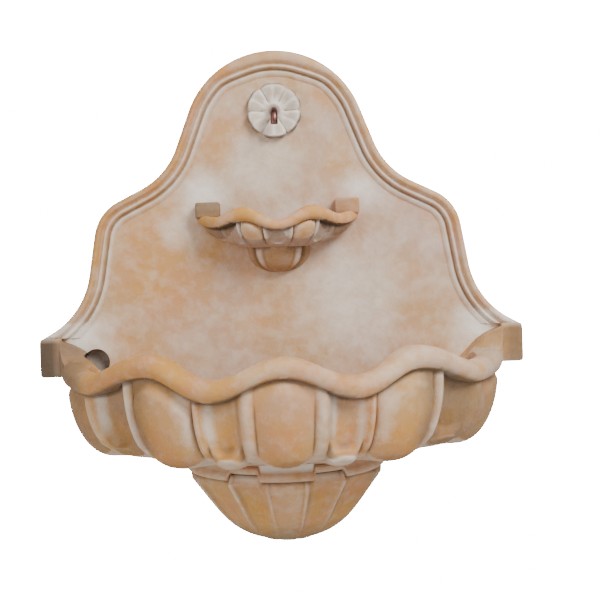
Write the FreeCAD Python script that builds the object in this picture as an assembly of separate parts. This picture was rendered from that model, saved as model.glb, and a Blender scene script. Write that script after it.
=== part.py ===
import FreeCAD, Part
import math
import os

# Garden wall fountain, cast stone. Millimetres, +Z up, the front faces -Y.
# Origin: on the wall plane, midway between the two keyhole hangers.

# Back panel: a slab with a moulded border, an arched crown and two ears.
FIELD_THICK = 33.0
BORDER_THICK = 45.0
CROWN_RISE = 81.6
CROWN_TANGENT_X = 83.5
CROWN_RADIUS = 121.4
COVE_X = 145.2
COVE_Z = 79.9
COVE_RADIUS = 97.0
SHOULDER_X = 238.0
SHOULDER_Z = 34.4
SHOULDER_RADIUS = 60.0
FLARE_X = 260.8
FLARE_Z = -99.6
FLARE_RADIUS = 106.0
EAR_HALF = 318.5
EAR_TOP = -131.2
EAR_BOTTOM = -181.0
EAR_DEPTH = 50.0
EAR_TOP_RADIUS = 8.0
EAR_BOTTOM_RADIUS = 4.0
SLAB_INSET = 4.0
BORDER_EDGE = 1.0
BORDER_WIDTH = 11.0
BORDER_STEP = 13.0
BEAD_START = 13.0
BEAD_WIDTH = 6.5
BEAD_RISE = 6.0

# Basin: a half-round bowl with lobes and flutes and a waved rim roll.
BASIN_HALF = 285.0
BASIN_REACH = 240.0
BASIN_BOTTOM = -283.0
BASIN_FLOOR_THICK = 18.0
BASIN_WALL = 30.0
BASIN_FILLET = 16.0
RIM_PEAK = -145.0
RIM_TROUGH = -172.0
RIM_OUTER_TROUGH = -169.0
RIM_END = -160.0
ROLL_HEIGHT = 26.0
ROLL_PROUD = 6.0
LOBE_SWELL = 9.0
FLUTE_DEPTH = 12.0
END_BLOCK_TOP = -139.0
END_BLOCK_REACH = 17.0
END_BLOCK_INNER = 57.0
END_BLOCK_FALL = 31.0
BACK_WALL_THICK = 24.0
BACK_WALL_TOP = -205.0

# Corbel: the fluted half dome that carries the basin.
CORBEL_HALF = 131.7
CORBEL_REACH = 150.0
CORBEL_SHOULDER = -312.0
CORBEL_FOOT_X = 61.2
CORBEL_BOTTOM = -408.0
COLLAR_HEIGHT = 15.0
COLLAR_STEP = 6.0
COLLAR_DROP = 7.0
CORBEL_FLUTE = 6.0
CORBEL_SLOPE = 53.7

# Upper cup with its ears and pendant.
CUP_HALF = 104.0
CUP_REACH = 74.0
CUP_PEAK = 32.0
CUP_TROUGH = 14.0
CUP_OUTER_TROUGH = 20.5
CUP_RIM_END = 27.0
CUP_EAR_TOP = 42.0
CUP_BOTTOM = -20.0
CUP_FLOOR = -7.0
CUP_WALL = 13.0
CUP_ROLL_HEIGHT = 15.0
CUP_ROLL_PROUD = 3.5
CUP_SWELL = 5.0
CUP_BACK_THICK = 12.0
CUP_BACK_TOP = 12.0
PENDANT_DROP = 32.0
CUP_EAR_WIDTH = 29.0
CUP_EAR_HEIGHT = 21.0
CUP_EAR_DEPTH = 24.0

# Rosette round the spout.
ROSETTE_RADIUS = 37.0
ROSETTE_PROUD = 13.0
ROSETTE_PETALS = 6
PETAL_NOTCH = 4.0
SPOUT_HEIGHT = 159.0
ROSETTE_LIFT = 1.5

# Copper supply tube, 3/8 inch outside, and the channel that it lies in.
TUBE_RADIUS = 4.76
TUBE_WALL = 0.8
TUBE_BACK_GAP = 1.7
TUBE_BEND = 14.0
TUBE_DROP_BEND = 28.0
SPOUT_REACH = 34.0
SPOUT_TAIL = 5.0
PORT_HEIGHT = -178.0
PORT_REACH = 59.0
CHANNEL_WIDTH = 22.0
CHANNEL_DEPTH = 14.0
BEND_POCKET_DEPTH = 27.0
BEND_POCKET_LENGTH = 26.0
BORE_CLEARANCE = 1.0
STRAP_THICK = 1.5
STRAP_WIDTH = 12.0
STRAP_LENGTH = 48.0
STRAP_HEIGHTS = (95.0, -110.0)

# Pass-through hole for the pump cord, and its rubber bush.
CORD_HOLE_INSET = 38.0
CORD_HOLE_Z = -163.8
CORD_HOLE_RADIUS = 17.5
CORD_BUSH_LENGTH = 14.0
CORD_BORE_RADIUS = 4.0
FIT_CLEARANCE = 0.1

# Keyhole hangers on 16 inch centres.
HANGER_SPACING = 406.4
HANGER_WIDTH = 32.0
HANGER_HEIGHT = 70.0
HANGER_THICK = 3.0
KEYHOLE_RADIUS = 7.5
KEY_SLOT_HALF = 3.5
KEY_SLOT_RISE = 17.0
HANGER_POCKET_DEPTH = 16.0
SCREW_RADIUS = 2.1
SCREW_HEAD_RADIUS = 3.6
SCREW_HEAD_HEIGHT = 1.5
SCREW_LENGTH = 18.0
SCREW_INSET = 8.0

# M8 bolts that hold the castings to the panel.
BOLT_RADIUS = 4.0
BOLT_HEAD_RADIUS = 7.5
BOLT_HEAD_HEIGHT = 5.3
BOLT_SEAT_DEPTH = 12.0
BOLT_LENGTH = 38.0
BOLT_SOCKET_RADIUS = 12.0
INSERT_RADIUS = 7.0
INSERT_LENGTH = 18.0
BOLT_HOLE_DEPTH = 20.0
BASIN_BOLT_X = 175.0
BASIN_BOLT_Z = -240.0
CORBEL_BOLT_X = 62.0
CORBEL_BOLT_Z = -325.0
CUP_BOLT_X = 92.5
CUP_BOLT_Z = 31.5

# Submersible pump on the basin floor.
PUMP_LENGTH = 46.0
PUMP_DEPTH = 36.0
PUMP_HEIGHT = 34.0
PUMP_CORNER = 4.0
FOOT_HEIGHT = 4.0
FOOT_RADIUS = 6.0
FOOT_STEM_RADIUS = 2.0
FOOT_STEM = 3.0
FOOT_INSET = 8.0
CHAMBER_RADIUS = 12.0
CHAMBER_DEPTH = 11.0
WELL_RADIUS = 7.5
WELL_DEPTH = 24.0
ROTOR_RADIUS = 6.7
BLADE_RADIUS = 10.5
BLADE_HEIGHT = 8.0
BLADE_COUNT = 4
BLADE_THICK = 1.6
SHAFT_RADIUS = 1.2
SHAFT_SEAT = 3.0
RUNNING_GAP = 0.05
COVER_THICK = 8.0
COVER_SLOTS = 5
COVER_SLOT_WIDTH = 2.4
DIAL_RADIUS = 8.0
DIAL_THICK = 2.5
DIAL_PIN_RADIUS = 2.0
OUTLET_RADIUS = 4.8
OUTLET_BORE = 3.4
OUTLET_HEIGHT = 17.0
TUBE_END_GAP = 1.0
HOSE_RADIUS = 6.6
HOSE_OVERLAP = 12.0
HOSE_GRIP = 2.0
CLAMP_THICK = 0.9
CLAMP_WIDTH = 6.0
GLAND_RADIUS = 5.0
GLAND_LENGTH = 11.0
GLAND_BORE = 3.3
GLAND_SEAT = 3.0
BOSS_RADIUS = 4.0
HUB_RADIUS = 3.2

FIELD_Y = -FIELD_THICK
CROWN_TOP = SPOUT_HEIGHT + CROWN_RISE
CORD_HOLE_X = -(BASIN_HALF - CORD_HOLE_INSET)
TUBE_Y = -(TUBE_BACK_GAP + TUBE_RADIUS)
FLOOR_Z = BASIN_BOTTOM + BASIN_FLOOR_THICK
HOSE_Y = -(PORT_REACH + TUBE_DROP_BEND)
PUMP_TOP = FLOOR_Z + FOOT_HEIGHT + PUMP_HEIGHT
PUMP_AXIS_Z = FLOOR_Z + FOOT_HEIGHT + PUMP_HEIGHT / 2.0
PUMP_FACE_X = CHAMBER_DEPTH / 2.0 + 3.0
FLAT_ERROR = 1e-6
SCREW_SIDES = 8
BOLT_SIDES = 10
ROUND_SIDES = 24
HOSE_SIDES = 20
TUBE_SIDES = 14
TUBE_BEND_STEPS = 4
BASIN_STEP = 3.4
CORBEL_STEP = 4.0
CUP_STEP = 5.0
ROSETTE_STEPS = 48


def vec(x, y, z):
    return FreeCAD.Vector(x, y, z)


def box(x0, x1, y0, y1, z0, z1):
    """A box between two corners, given axis by axis."""
    return Part.makeBox(x1 - x0, y1 - y0, z1 - z0, vec(x0, y0, z0))


def rod(radius, start, end):
    """A round bar from one point to another."""
    run = end.sub(start)
    return Part.makeCylinder(radius, run.Length, start, run)


def flat(points):
    """A flat face with these corners."""
    return Part.Face(Part.makePolygon(points + points[:1]))


def skin(rings):
    """Flat faces between neighbouring rings of equally many points, split in two where four don't lie flat."""
    faces = []
    for lower, upper in zip(rings, rings[1:]):
        for a, b, c, d in zip(lower, lower[1:], upper[1:], upper):
            normal = (b - a).cross(c - a).normalize()
            if abs(normal.dot(d - a)) < FLAT_ERROR:
                faces.append(flat([a, b, c, d]))
            else:
                faces += [flat([a, b, c]), flat([a, c, d])]
    return faces


def solid_of(faces):
    """The solid that a closed set of faces bounds."""
    shell = Part.makeShell(faces)
    shell.sewShape()
    solid = Part.Solid(shell)
    if solid.Volume < 0:
        solid.reverse()
    return solid


def round_ring(centre, along, radius, sides):
    """A closed ring of points round an axis."""
    across = vec(1, 0, 0) if abs(along.x) < 0.5 else vec(0, 1, 0)
    other = along.cross(across)
    ring = []
    for index in range(sides):
        turn = 2.0 * math.pi * index / sides
        ring.append(centre + across * (radius * math.cos(turn)) + other * (radius * math.sin(turn)))
    return ring + ring[:1]


def through_rings(rings):
    """A solid through closed rings, with flat ends."""
    return solid_of(skin(rings) + [flat(rings[0][:-1]), flat(rings[-1][:-1])])


def turned(profile, start, along, sides):
    """A turned piece with flat sides, through (distance, radius) pairs along its axis."""
    return through_rings([round_ring(start + along * distance, along, radius, sides) for distance, radius in profile])


def bar(radius, start, end, sides):
    """A straight bar with flat sides."""
    run = end - start
    return turned(((0, radius), (run.Length, radius)), start, run.normalize(), sides)


def ease(stations, degrees):
    """A value that swings smoothly from one (angle, value) station to the next, alike left and right."""
    turn = abs(degrees)
    for (angle_a, value_a), (angle_b, value_b) in zip(stations, stations[1:]):
        if turn <= angle_b:
            share = (turn - angle_a) / (angle_b - angle_a)
            return value_a + (value_b - value_a) * (0.5 - 0.5 * math.cos(math.pi * share))
    return stations[-1][1]


def scallop(spans, degrees):
    """A ripple of arcs, alike left and right: each (end angle, swell) span meets the next in a crease."""
    turn = abs(degrees)
    start = -spans[0][0]
    for end, swell in spans:
        if turn <= end:
            return swell * math.sin(math.pi * (turn - start) / (end - start))
        start = end
    return 0.0


def crease_angles(spans, step):
    """Angles from the left wall round the front to the right wall, with one on every crease."""
    half = [0.0]
    for end, swell in spans:
        start = half[-1]
        count = max(1, round((min(end, 90.0) - start) / step))
        half += [start + (min(end, 90.0) - start) * (index + 1) / count for index in range(count)]
    return [-angle for angle in half[:0:-1]] + half


def half_ring(size, angles, height, share=1.0, ripple=None, out=0.0):
    """Points of a half ellipse round the front, from its left end at the wall to its right end.

    size is (half width, reach). The height is a level, or a rule of the angle. Level rings
    that differ only in their share are enlargements of each other, so flat faces join them.
    """
    points = []
    for degrees in angles:
        across = size[0] * math.sin(math.radians(degrees))
        forward = size[1] * math.cos(math.radians(degrees))
        plan = math.hypot(across, forward)
        swell = ripple(degrees) if ripple else 0.0
        scale = (share * (plan + swell) + out) / plan
        level = height(degrees) if callable(height) else height
        points.append(vec(across * scale, FIELD_Y - forward * scale, level))
    return points


def bowl_from_rings(rings):
    """A solid through half rings, flat at its first and last ring and at the wall."""
    left = [ring[0] for ring in rings]
    right = [ring[-1] for ring in rings]
    return solid_of(skin(rings) + [flat(rings[0]), flat(rings[-1]), flat(left + right[::-1])])


def rounded_outline(corners, depth):
    """A closed wire in the plane y = depth through (x, z, radius) corners, mirrored about x = 0."""
    ring = corners + [(-x, z, radius) for x, z, radius in reversed(corners)]
    edges = []
    ends = []
    for index, (x, z, radius) in enumerate(ring):
        here = vec(x, depth, z)
        before = vec(ring[index - 1][0], depth, ring[index - 1][1]).sub(here).normalize()
        following = ring[(index + 1) % len(ring)]
        after = vec(following[0], depth, following[1]).sub(here).normalize()
        if radius == 0:
            ends.append((here, here))
            continue
        half = before.getAngle(after) / 2.0
        reach = radius / math.tan(half)
        middle = here.add(before.add(after).normalize().multiply(radius / math.sin(half) - radius))
        start = here.add(before.multiply(reach))
        end = here.add(after.multiply(reach))
        edges.append(Part.Arc(start, middle, end).toShape())
        ends.append((start, end))
    for index, (start, _) in enumerate(ends):
        previous = ends[index - 1][1]
        if previous.distanceToPoint(start) > 0.01:
            edges.append(Part.makeLine(previous, start))
    return Part.Wire(Part.__sortEdges__(edges))


def panel_corners():
    """The right half of the panel's outline, from the crown to the foot behind the corbel."""
    return [
        (CROWN_TANGENT_X, CROWN_TOP, CROWN_RADIUS),
        (COVE_X, COVE_Z, COVE_RADIUS),
        (SHOULDER_X, SHOULDER_Z, SHOULDER_RADIUS),
        (FLARE_X, FLARE_Z, FLARE_RADIUS),
        (EAR_HALF, EAR_TOP, EAR_TOP_RADIUS),
        (EAR_HALF, EAR_BOTTOM, EAR_BOTTOM_RADIUS),
        (0.955 * BASIN_HALF, EAR_BOTTOM, 0),
        (0.885 * BASIN_HALF, BASIN_BOTTOM + SLAB_INSET, BASIN_WALL),
        (CORBEL_HALF - SLAB_INSET, BASIN_BOTTOM + SLAB_INSET, 0),
        (CORBEL_HALF - SLAB_INSET, CORBEL_SHOULDER, 12.0),
        (CORBEL_FOOT_X, CORBEL_BOTTOM + SLAB_INSET, 2.0 * CORBEL_FOOT_X - 6.0),
    ]


def rounding(before, here, after):
    """(point, inward direction) pairs round one corner of the outline, walked clockwise."""
    corner = vec(here[0], FIELD_Y, here[1])
    arrive = (corner - vec(before[0], FIELD_Y, before[1])).normalize()
    leave = (vec(after[0], FIELD_Y, after[1]) - corner).normalize()
    radius = here[2]
    sweep = arrive.getAngle(leave)
    side = 1.0 if vec(arrive.z, 0, -arrive.x).dot(leave) > 0 else -1.0
    centre = corner + (leave - arrive).normalize() * (radius / math.cos(sweep / 2.0))
    steps = math.ceil(math.degrees(sweep) / BORDER_STEP)
    pairs = []
    for step in range(steps + 1):
        turn = side * sweep * step / steps
        inward = vec(arrive.z * math.cos(turn) - arrive.x * math.sin(turn), 0,
                     -arrive.x * math.cos(turn) - arrive.z * math.sin(turn))
        pairs.append((centre - inward * (side * radius), inward))
    return pairs


def border_path():
    """(point, inward direction) pairs from the left ear over the crown to the right ear."""
    corners = panel_corners()
    corners = [(-corners[0][0], corners[0][1], 0.0)] + corners[:5]
    right = []
    for before, here, after in zip(corners, corners[1:], corners[2:]):
        right += rounding(before, here, after)
    inward = right[-1][1]
    right.append((vec(EAR_HALF - EAR_TOP_RADIUS, FIELD_Y, EAR_TOP + EAR_TOP_RADIUS * inward.x / inward.z), inward))
    left = [(vec(-point.x, point.y, point.z), vec(-inward.x, 0, inward.z)) for point, inward in right[1:]]
    return left[::-1] + right


def moulding(inset, width, rise, shape_stations):
    """A raised band that follows the outline: (share of width, share of rise) stations across it."""
    path = border_path()
    rings = []
    for across, up in shape_stations:
        rings.append([point + inward * (inset + width * across) + vec(0, -rise * up, 0) for point, inward in path])
    ends = [flat([ring[0] for ring in rings]), flat([ring[-1] for ring in rings])]
    solid = solid_of(skin(rings + rings[:1]) + ends)
    return solid.common(box(-EAR_HALF, EAR_HALF, -2 * BORDER_THICK, 0, EAR_TOP + 1.0, CROWN_TOP + 1.0))


def ear_block(side):
    """The square-cut end of the panel beside the basin."""
    inner = BASIN_HALF + ROLL_PROUD + 0.6
    slab = Part.Face(rounded_outline(panel_corners(), FIELD_Y)).extrude(vec(0, FIELD_THICK - EAR_DEPTH, 0))
    low, high = sorted((side * inner, side * EAR_HALF))
    return slab.common(box(low, high, -EAR_DEPTH, FIELD_Y, EAR_BOTTOM, EAR_TOP + 8.0))


def bolt_places():
    """Where the castings are bolted: (x, z) of every bolt axis."""
    places = []
    for x, z in ((BASIN_BOLT_X, BASIN_BOLT_Z), (CORBEL_BOLT_X, CORBEL_BOLT_Z), (CUP_BOLT_X, CUP_BOLT_Z)):
        places += [(-x, z), (x, z)]
    return places


def hanger_screw_places():
    """Centres of the screws that hold the hanger plates."""
    rise = HANGER_HEIGHT / 2.0 - SCREW_INSET
    return [(side * HANGER_SPACING / 2.0, z) for side in (-1, 1) for z in (-rise, rise)]


def strap_screw_places():
    """Centres of the screws that hold the straps over the tube."""
    across = STRAP_LENGTH / 2.0 - SCREW_INSET
    return [(side * across, z) for z in STRAP_HEIGHTS for side in (-1, 1)]


def tube_channel():
    """The rear channel for the copper tube, with a deeper pocket and a bore at each end."""
    half = CHANNEL_WIDTH / 2.0
    bore = TUBE_RADIUS + BORE_CLEARANCE
    cut = box(-half, half, -CHANNEL_DEPTH, 1, PORT_HEIGHT, SPOUT_HEIGHT)
    top = box(-half, half, -BEND_POCKET_DEPTH, 1, SPOUT_HEIGHT - BEND_POCKET_LENGTH, SPOUT_HEIGHT + half)
    low = box(-half, half, -BEND_POCKET_DEPTH, 1, PORT_HEIGHT - half, PORT_HEIGHT + BEND_POCKET_LENGTH)
    spout = rod(bore, vec(0, 0, SPOUT_HEIGHT), vec(0, -BORDER_THICK, SPOUT_HEIGHT))
    port = rod(bore, vec(0, 0, PORT_HEIGHT), vec(0, -BORDER_THICK, PORT_HEIGHT))
    return [cut, top, low, spout, port]


def hanger_pocket(x):
    """Recess for a hanger plate, with a deeper well behind its keyhole for the screw's head."""
    half = HANGER_WIDTH / 2.0 + FIT_CLEARANCE
    tall = HANGER_HEIGHT / 2.0 + FIT_CLEARANCE
    seat = box(x - half, x + half, -HANGER_THICK, 1, -tall, tall)
    well = box(x - KEYHOLE_RADIUS - 1, x + KEYHOLE_RADIUS + 1, -HANGER_POCKET_DEPTH, 0,
               -KEYHOLE_RADIUS - 1, KEY_SLOT_RISE + KEYHOLE_RADIUS)
    return [seat, well]


def back_panel():
    """The moulded slab: field, border band, bead, ears, and what is cut into its back."""
    body = Part.Face(rounded_outline(panel_corners(), 0)).extrude(vec(0, FIELD_Y, 0))
    rise = BORDER_THICK - FIELD_THICK
    roll = moulding(BORDER_EDGE, BORDER_WIDTH, rise, ((0, -0.1), (0, 0.5), (0.3, 1.0), (0.75, 0.8), (1.0, -0.1)))
    bead = moulding(BEAD_START, BEAD_WIDTH, BEAD_RISE, ((0, -0.1), (0.25, 1.0), (0.7, 0.9), (1.0, -0.1)))
    body = body.fuse([roll, bead, ear_block(-1), ear_block(1)])
    cuts = tube_channel()
    cuts += hanger_pocket(-HANGER_SPACING / 2.0) + hanger_pocket(HANGER_SPACING / 2.0)
    cuts.append(rod(CORD_HOLE_RADIUS, vec(CORD_HOLE_X, 1, CORD_HOLE_Z), vec(CORD_HOLE_X, -BORDER_THICK, CORD_HOLE_Z)))
    for x, z in bolt_places():
        cuts.append(bar(BOLT_SOCKET_RADIUS, vec(x, 1, z), vec(x, -BOLT_SEAT_DEPTH, z), BOLT_SIDES))
        cuts.append(bar(BOLT_RADIUS + FIT_CLEARANCE, vec(x, 0, z), vec(x, FIELD_Y - 1, z), BOLT_SIDES))
    for x, z in hanger_screw_places() + strap_screw_places():
        cuts.append(bar(SCREW_RADIUS + FIT_CLEARANCE, vec(x, 0, z), vec(x, -SCREW_LENGTH - 1, z), SCREW_SIDES))
    for height in STRAP_HEIGHTS:
        half = STRAP_LENGTH / 2.0 + FIT_CLEARANCE
        wide = STRAP_WIDTH / 2.0 + FIT_CLEARANCE
        cuts.append(box(-half, half, -STRAP_THICK, 1, height - wide, height + wide))
    return body.cut(cuts).removeSplitter()


RIM_STATIONS = ((0, RIM_PEAK), (16, RIM_TROUGH), (34, RIM_PEAK), (59, RIM_OUTER_TROUGH), (90, RIM_END))
BASIN_SPANS = ((7.4, 0.8 * LOBE_SWELL), (11.4, 0), (20.2, -FLUTE_DEPTH), (23.4, 0), (40.9, LOBE_SWELL), (44, 0),
               (58.1, -FLUTE_DEPTH), (63.3, 0), (100, 0.6 * LOBE_SWELL))


def basin_rings():
    """The basin's section, ring by ring: outside from the bottom up, over the rim roll, and down the inside."""
    size = (BASIN_HALF, BASIN_REACH)
    angles = crease_angles(BASIN_SPANS, BASIN_STEP)
    under_level = min(RIM_TROUGH, RIM_OUTER_TROUGH) - ROLL_HEIGHT
    body = under_level - BASIN_BOTTOM

    def lobes(degrees):
        return scallop(BASIN_SPANS, degrees)

    def below_rim(drop):
        return lambda degrees: ease(RIM_STATIONS, degrees) - drop * ROLL_HEIGHT

    outside = [half_ring(size, angles, BASIN_BOTTOM + rise * body, share, lobes) for share, rise in (
        (0.78, 0), (0.87, 0.09), (0.925, 0.3), (0.96, 0.66), (0.975, 0.97))]
    under = half_ring(size, angles, below_rim(1.0), 0.98, lobes)
    roll = [half_ring(size, angles, below_rim(drop), out=out) for out, drop in (
        (ROLL_PROUD, 0.8), (ROLL_PROUD, 0.3), (-0.15 * BASIN_WALL, 0), (-0.8 * BASIN_WALL, 0.05),
        (-BASIN_WALL, 0.4))]
    inside = [half_ring(size, angles, level, share) for share, level in (
        (0.87, BASIN_BOTTOM + 0.97 * body), (0.81, FLOOR_Z + BASIN_FILLET), (0.70, FLOOR_Z))]
    return outside + [under] + roll + inside


def insert_holes(x_values, z):
    """Cuts for threaded inserts and bolt ends, blind from the back of a casting."""
    radius = INSERT_RADIUS + FIT_CLEARANCE
    return [bar(radius, vec(x, FIELD_Y, z), vec(x, FIELD_Y - BOLT_HOLE_DEPTH, z), 6) for x in x_values]


def end_block(side):
    """The shoulder at one end of the rim, level with the ear's face, which slopes down into the bowl."""
    outer = BASIN_HALF + ROLL_PROUD
    inner = BASIN_HALF - END_BLOCK_INNER
    outline = ((outer, END_BLOCK_TOP), (BASIN_HALF - 0.47 * END_BLOCK_INNER, END_BLOCK_TOP - 0.32 * END_BLOCK_FALL),
               (inner, END_BLOCK_TOP - END_BLOCK_FALL), (inner, RIM_OUTER_TROUGH - 0.8 * ROLL_HEIGHT),
               (BASIN_HALF - 0.3 * END_BLOCK_INNER, RIM_OUTER_TROUGH - 0.8 * ROLL_HEIGHT),
               (outer, RIM_END - 0.5 * ROLL_HEIGHT))
    points = [vec(side * x, FIELD_Y, z) for x, z in outline]
    return Part.Face(Part.makePolygon(points + points[:1])).extrude(vec(0, -END_BLOCK_REACH, 0))


def basin():
    """The bowl with its own low back wall, which the bolts' inserts sit in."""
    bowl = bowl_from_rings(basin_rings())
    low = BASIN_BOTTOM + 0.4 * BASIN_FLOOR_THICK
    bend = FLOOR_Z + 0.75 * BASIN_FILLET
    corners = ((0.915, BACK_WALL_TOP), (0.855, bend), (0.75, low), (-0.75, low), (-0.855, bend),
               (-0.915, BACK_WALL_TOP), (0.915, BACK_WALL_TOP))
    outline = Part.makePolygon([vec(share * BASIN_HALF, FIELD_Y, z) for share, z in corners])
    wall = Part.Face(outline).extrude(vec(0, -BACK_WALL_THICK, 0))
    body = bowl.fuse([wall] + [end_block(side) for side in (-1, 1)])
    notch = rod(CORD_HOLE_RADIUS, vec(CORD_HOLE_X, FIELD_Y + 1, CORD_HOLE_Z),
                vec(CORD_HOLE_X, FIELD_Y - END_BLOCK_REACH - 1, CORD_HOLE_Z))
    return body.cut([notch] + insert_holes((-BASIN_BOLT_X, BASIN_BOLT_X), BASIN_BOLT_Z))


def corbel_share(drop):
    """The corbel's half width as a share of its width at the shoulder, at a share of the way down to its foot."""
    slope = math.radians(CORBEL_SLOPE)
    foot_radius = CORBEL_FOOT_X / math.tan(slope / 2.0)
    arc_height = foot_radius * (1.0 - math.cos(slope))
    arc_half = foot_radius * math.sin(slope)
    rise = (CORBEL_SHOULDER - CORBEL_BOTTOM) * (1.0 - drop)
    if rise >= arc_height:
        share = (rise - arc_height) / (CORBEL_SHOULDER - CORBEL_BOTTOM - arc_height)
        return (arc_half + (CORBEL_HALF - arc_half) * share) / CORBEL_HALF
    return math.sqrt(foot_radius ** 2 - (foot_radius - rise) ** 2) / CORBEL_HALF


def corbel():
    """A solid half dome with flutes that run together at its foot, under a stepped collar."""
    size = (CORBEL_HALF, CORBEL_REACH)
    spans = ((8.6, -0.3 * CORBEL_FLUTE), (11.6, 0.3 * CORBEL_FLUTE), (32, -CORBEL_FLUTE), (35, 0.3 * CORBEL_FLUTE),
             (62, -CORBEL_FLUTE), (66, 0.3 * CORBEL_FLUTE), (90, -0.3 * CORBEL_FLUTE))
    angles = crease_angles(spans, CORBEL_STEP)
    steps = ((0, 1.0), (11, 1.0), (12, 0), (32, 0), (33, 1.0), (90, 1.0))

    def flutes(degrees):
        return scallop(spans, degrees)

    def proud(degrees):
        return COLLAR_STEP * (ease(steps, degrees) - 1.0)

    def collar(drop):
        return lambda degrees: BASIN_BOTTOM - drop - COLLAR_DROP * ease(steps, degrees)

    rings = [half_ring(size, angles, BASIN_BOTTOM, 0.88, proud),
             half_ring(size, angles, collar(0.1 * COLLAR_HEIGHT), 0.89, proud),
             half_ring(size, angles, collar(0.2 * COLLAR_HEIGHT), 1.0, proud),
             half_ring(size, angles, collar(1.1 * COLLAR_HEIGHT), 1.0, proud),
             half_ring(size, angles, collar(1.2 * COLLAR_HEIGHT), 0.95, flutes)]
    for drop in (0.1, 0.3, 0.5, 0.68, 0.84, 0.95, 0.99):
        level = CORBEL_SHOULDER - drop * (CORBEL_SHOULDER - CORBEL_BOTTOM)
        rings.append(half_ring(size, angles, level, corbel_share(drop), flutes))
    body = bowl_from_rings(rings[::-1])
    return body.cut(insert_holes((-CORBEL_BOLT_X, CORBEL_BOLT_X), CORBEL_BOLT_Z))


def upper_cup():
    """The small bowl under the spout, in one piece with its ears and shell pendant."""
    size = (CUP_HALF, CUP_REACH)
    spans = ((8.6, -0.8 * CUP_SWELL), (12.5, 0.2 * CUP_SWELL), (32, CUP_SWELL), (34, 0), (46, -0.6 * CUP_SWELL),
             (100, 0.3 * CUP_SWELL))
    rim_stations = ((0, CUP_TROUGH), (24, CUP_PEAK), (52, CUP_OUTER_TROUGH), (90, CUP_RIM_END))
    angles = crease_angles(spans, CUP_STEP)
    under_level = CUP_TROUGH - CUP_ROLL_HEIGHT

    def lobes(degrees):
        return scallop(spans, degrees)

    def below_rim(drop):
        return lambda degrees: ease(rim_stations, degrees) - drop * CUP_ROLL_HEIGHT

    pendant = [half_ring(size, angles, CUP_BOTTOM - drop * PENDANT_DROP, share, lobes) for share, drop in (
        (0.10, 1), (0.26, 0.8), (0.36, 0.45), (0.41, 0.08), (0.37, 0))]
    outside = [half_ring(size, angles, CUP_BOTTOM + rise * (under_level - CUP_BOTTOM), share, lobes) for share, rise in (
        (0.60, 0), (0.76, 0.35), (0.84, 0.95))]
    under = half_ring(size, angles, below_rim(1.0), 0.93, lobes)
    roll = [half_ring(size, angles, below_rim(drop), out=out) for out, drop in (
        (CUP_ROLL_PROUD, 0.75), (CUP_ROLL_PROUD, 0.25), (-0.3 * CUP_WALL, 0), (-CUP_WALL, 0.3))]
    floor = half_ring(size, angles, CUP_FLOOR, 0.62)
    bowl = bowl_from_rings(pendant + outside + [under] + roll + [floor])
    back_low = 0.5 * (CUP_FLOOR + CUP_BOTTOM)
    parts = [box(-0.82 * CUP_HALF, 0.82 * CUP_HALF, FIELD_Y - CUP_BACK_THICK, FIELD_Y, back_low, CUP_BACK_TOP)]
    for side in (-1, 1):
        outer_x = CUP_HALF + CUP_ROLL_PROUD
        low, high = sorted((side * (outer_x - CUP_EAR_WIDTH), side * outer_x))
        parts.append(box(low, high, FIELD_Y - CUP_EAR_DEPTH, FIELD_Y, CUP_EAR_TOP - CUP_EAR_HEIGHT, CUP_EAR_TOP))
    body = bowl.fuse(parts)
    return body.cut(insert_holes((-CUP_BOLT_X, CUP_BOLT_X), CUP_BOLT_Z))


def rosette():
    """A six-petalled flower, dished round the hole for the spout."""
    centre_z = SPOUT_HEIGHT + ROSETTE_LIFT

    def petal_ring(share, out):
        points = []
        for step in range(ROSETTE_STEPS):
            turn = 2.0 * math.pi * step / ROSETTE_STEPS
            swing = 0.5 + 0.5 * math.cos(ROSETTE_PETALS * turn)
            radius = share * (ROSETTE_RADIUS - PETAL_NOTCH * swing)
            points.append(vec(radius * math.cos(turn), FIELD_Y - out, centre_z + radius * math.sin(turn)))
        return points + points[:1]

    flower = through_rings([petal_ring(1.0, 0), petal_ring(1.0, 0.5 * ROSETTE_PROUD),
                            petal_ring(0.92, 0.85 * ROSETTE_PROUD), petal_ring(0.78, ROSETTE_PROUD),
                            petal_ring(0.3, 0.6 * ROSETTE_PROUD)])
    mouth = vec(0, -2 * BORDER_THICK, SPOUT_HEIGHT)
    return flower.cut(bar(TUBE_RADIUS + BORE_CLEARANCE, vec(0, 0, SPOUT_HEIGHT), mouth, TUBE_SIDES))


def tube_corners():
    """Corner points (y, z) of the tube's centre line, each with its bend radius."""
    front = FIELD_Y - SPOUT_REACH
    return [
        (front, SPOUT_HEIGHT - TUBE_BEND - SPOUT_TAIL, 0.0),
        (front, SPOUT_HEIGHT, TUBE_BEND),
        (TUBE_Y, SPOUT_HEIGHT, TUBE_BEND),
        (TUBE_Y, PORT_HEIGHT, TUBE_BEND),
        (HOSE_Y, PORT_HEIGHT, TUBE_DROP_BEND),
        (HOSE_Y, PUMP_TOP + OUTLET_HEIGHT + TUBE_END_GAP, 0.0),
    ]


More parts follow.
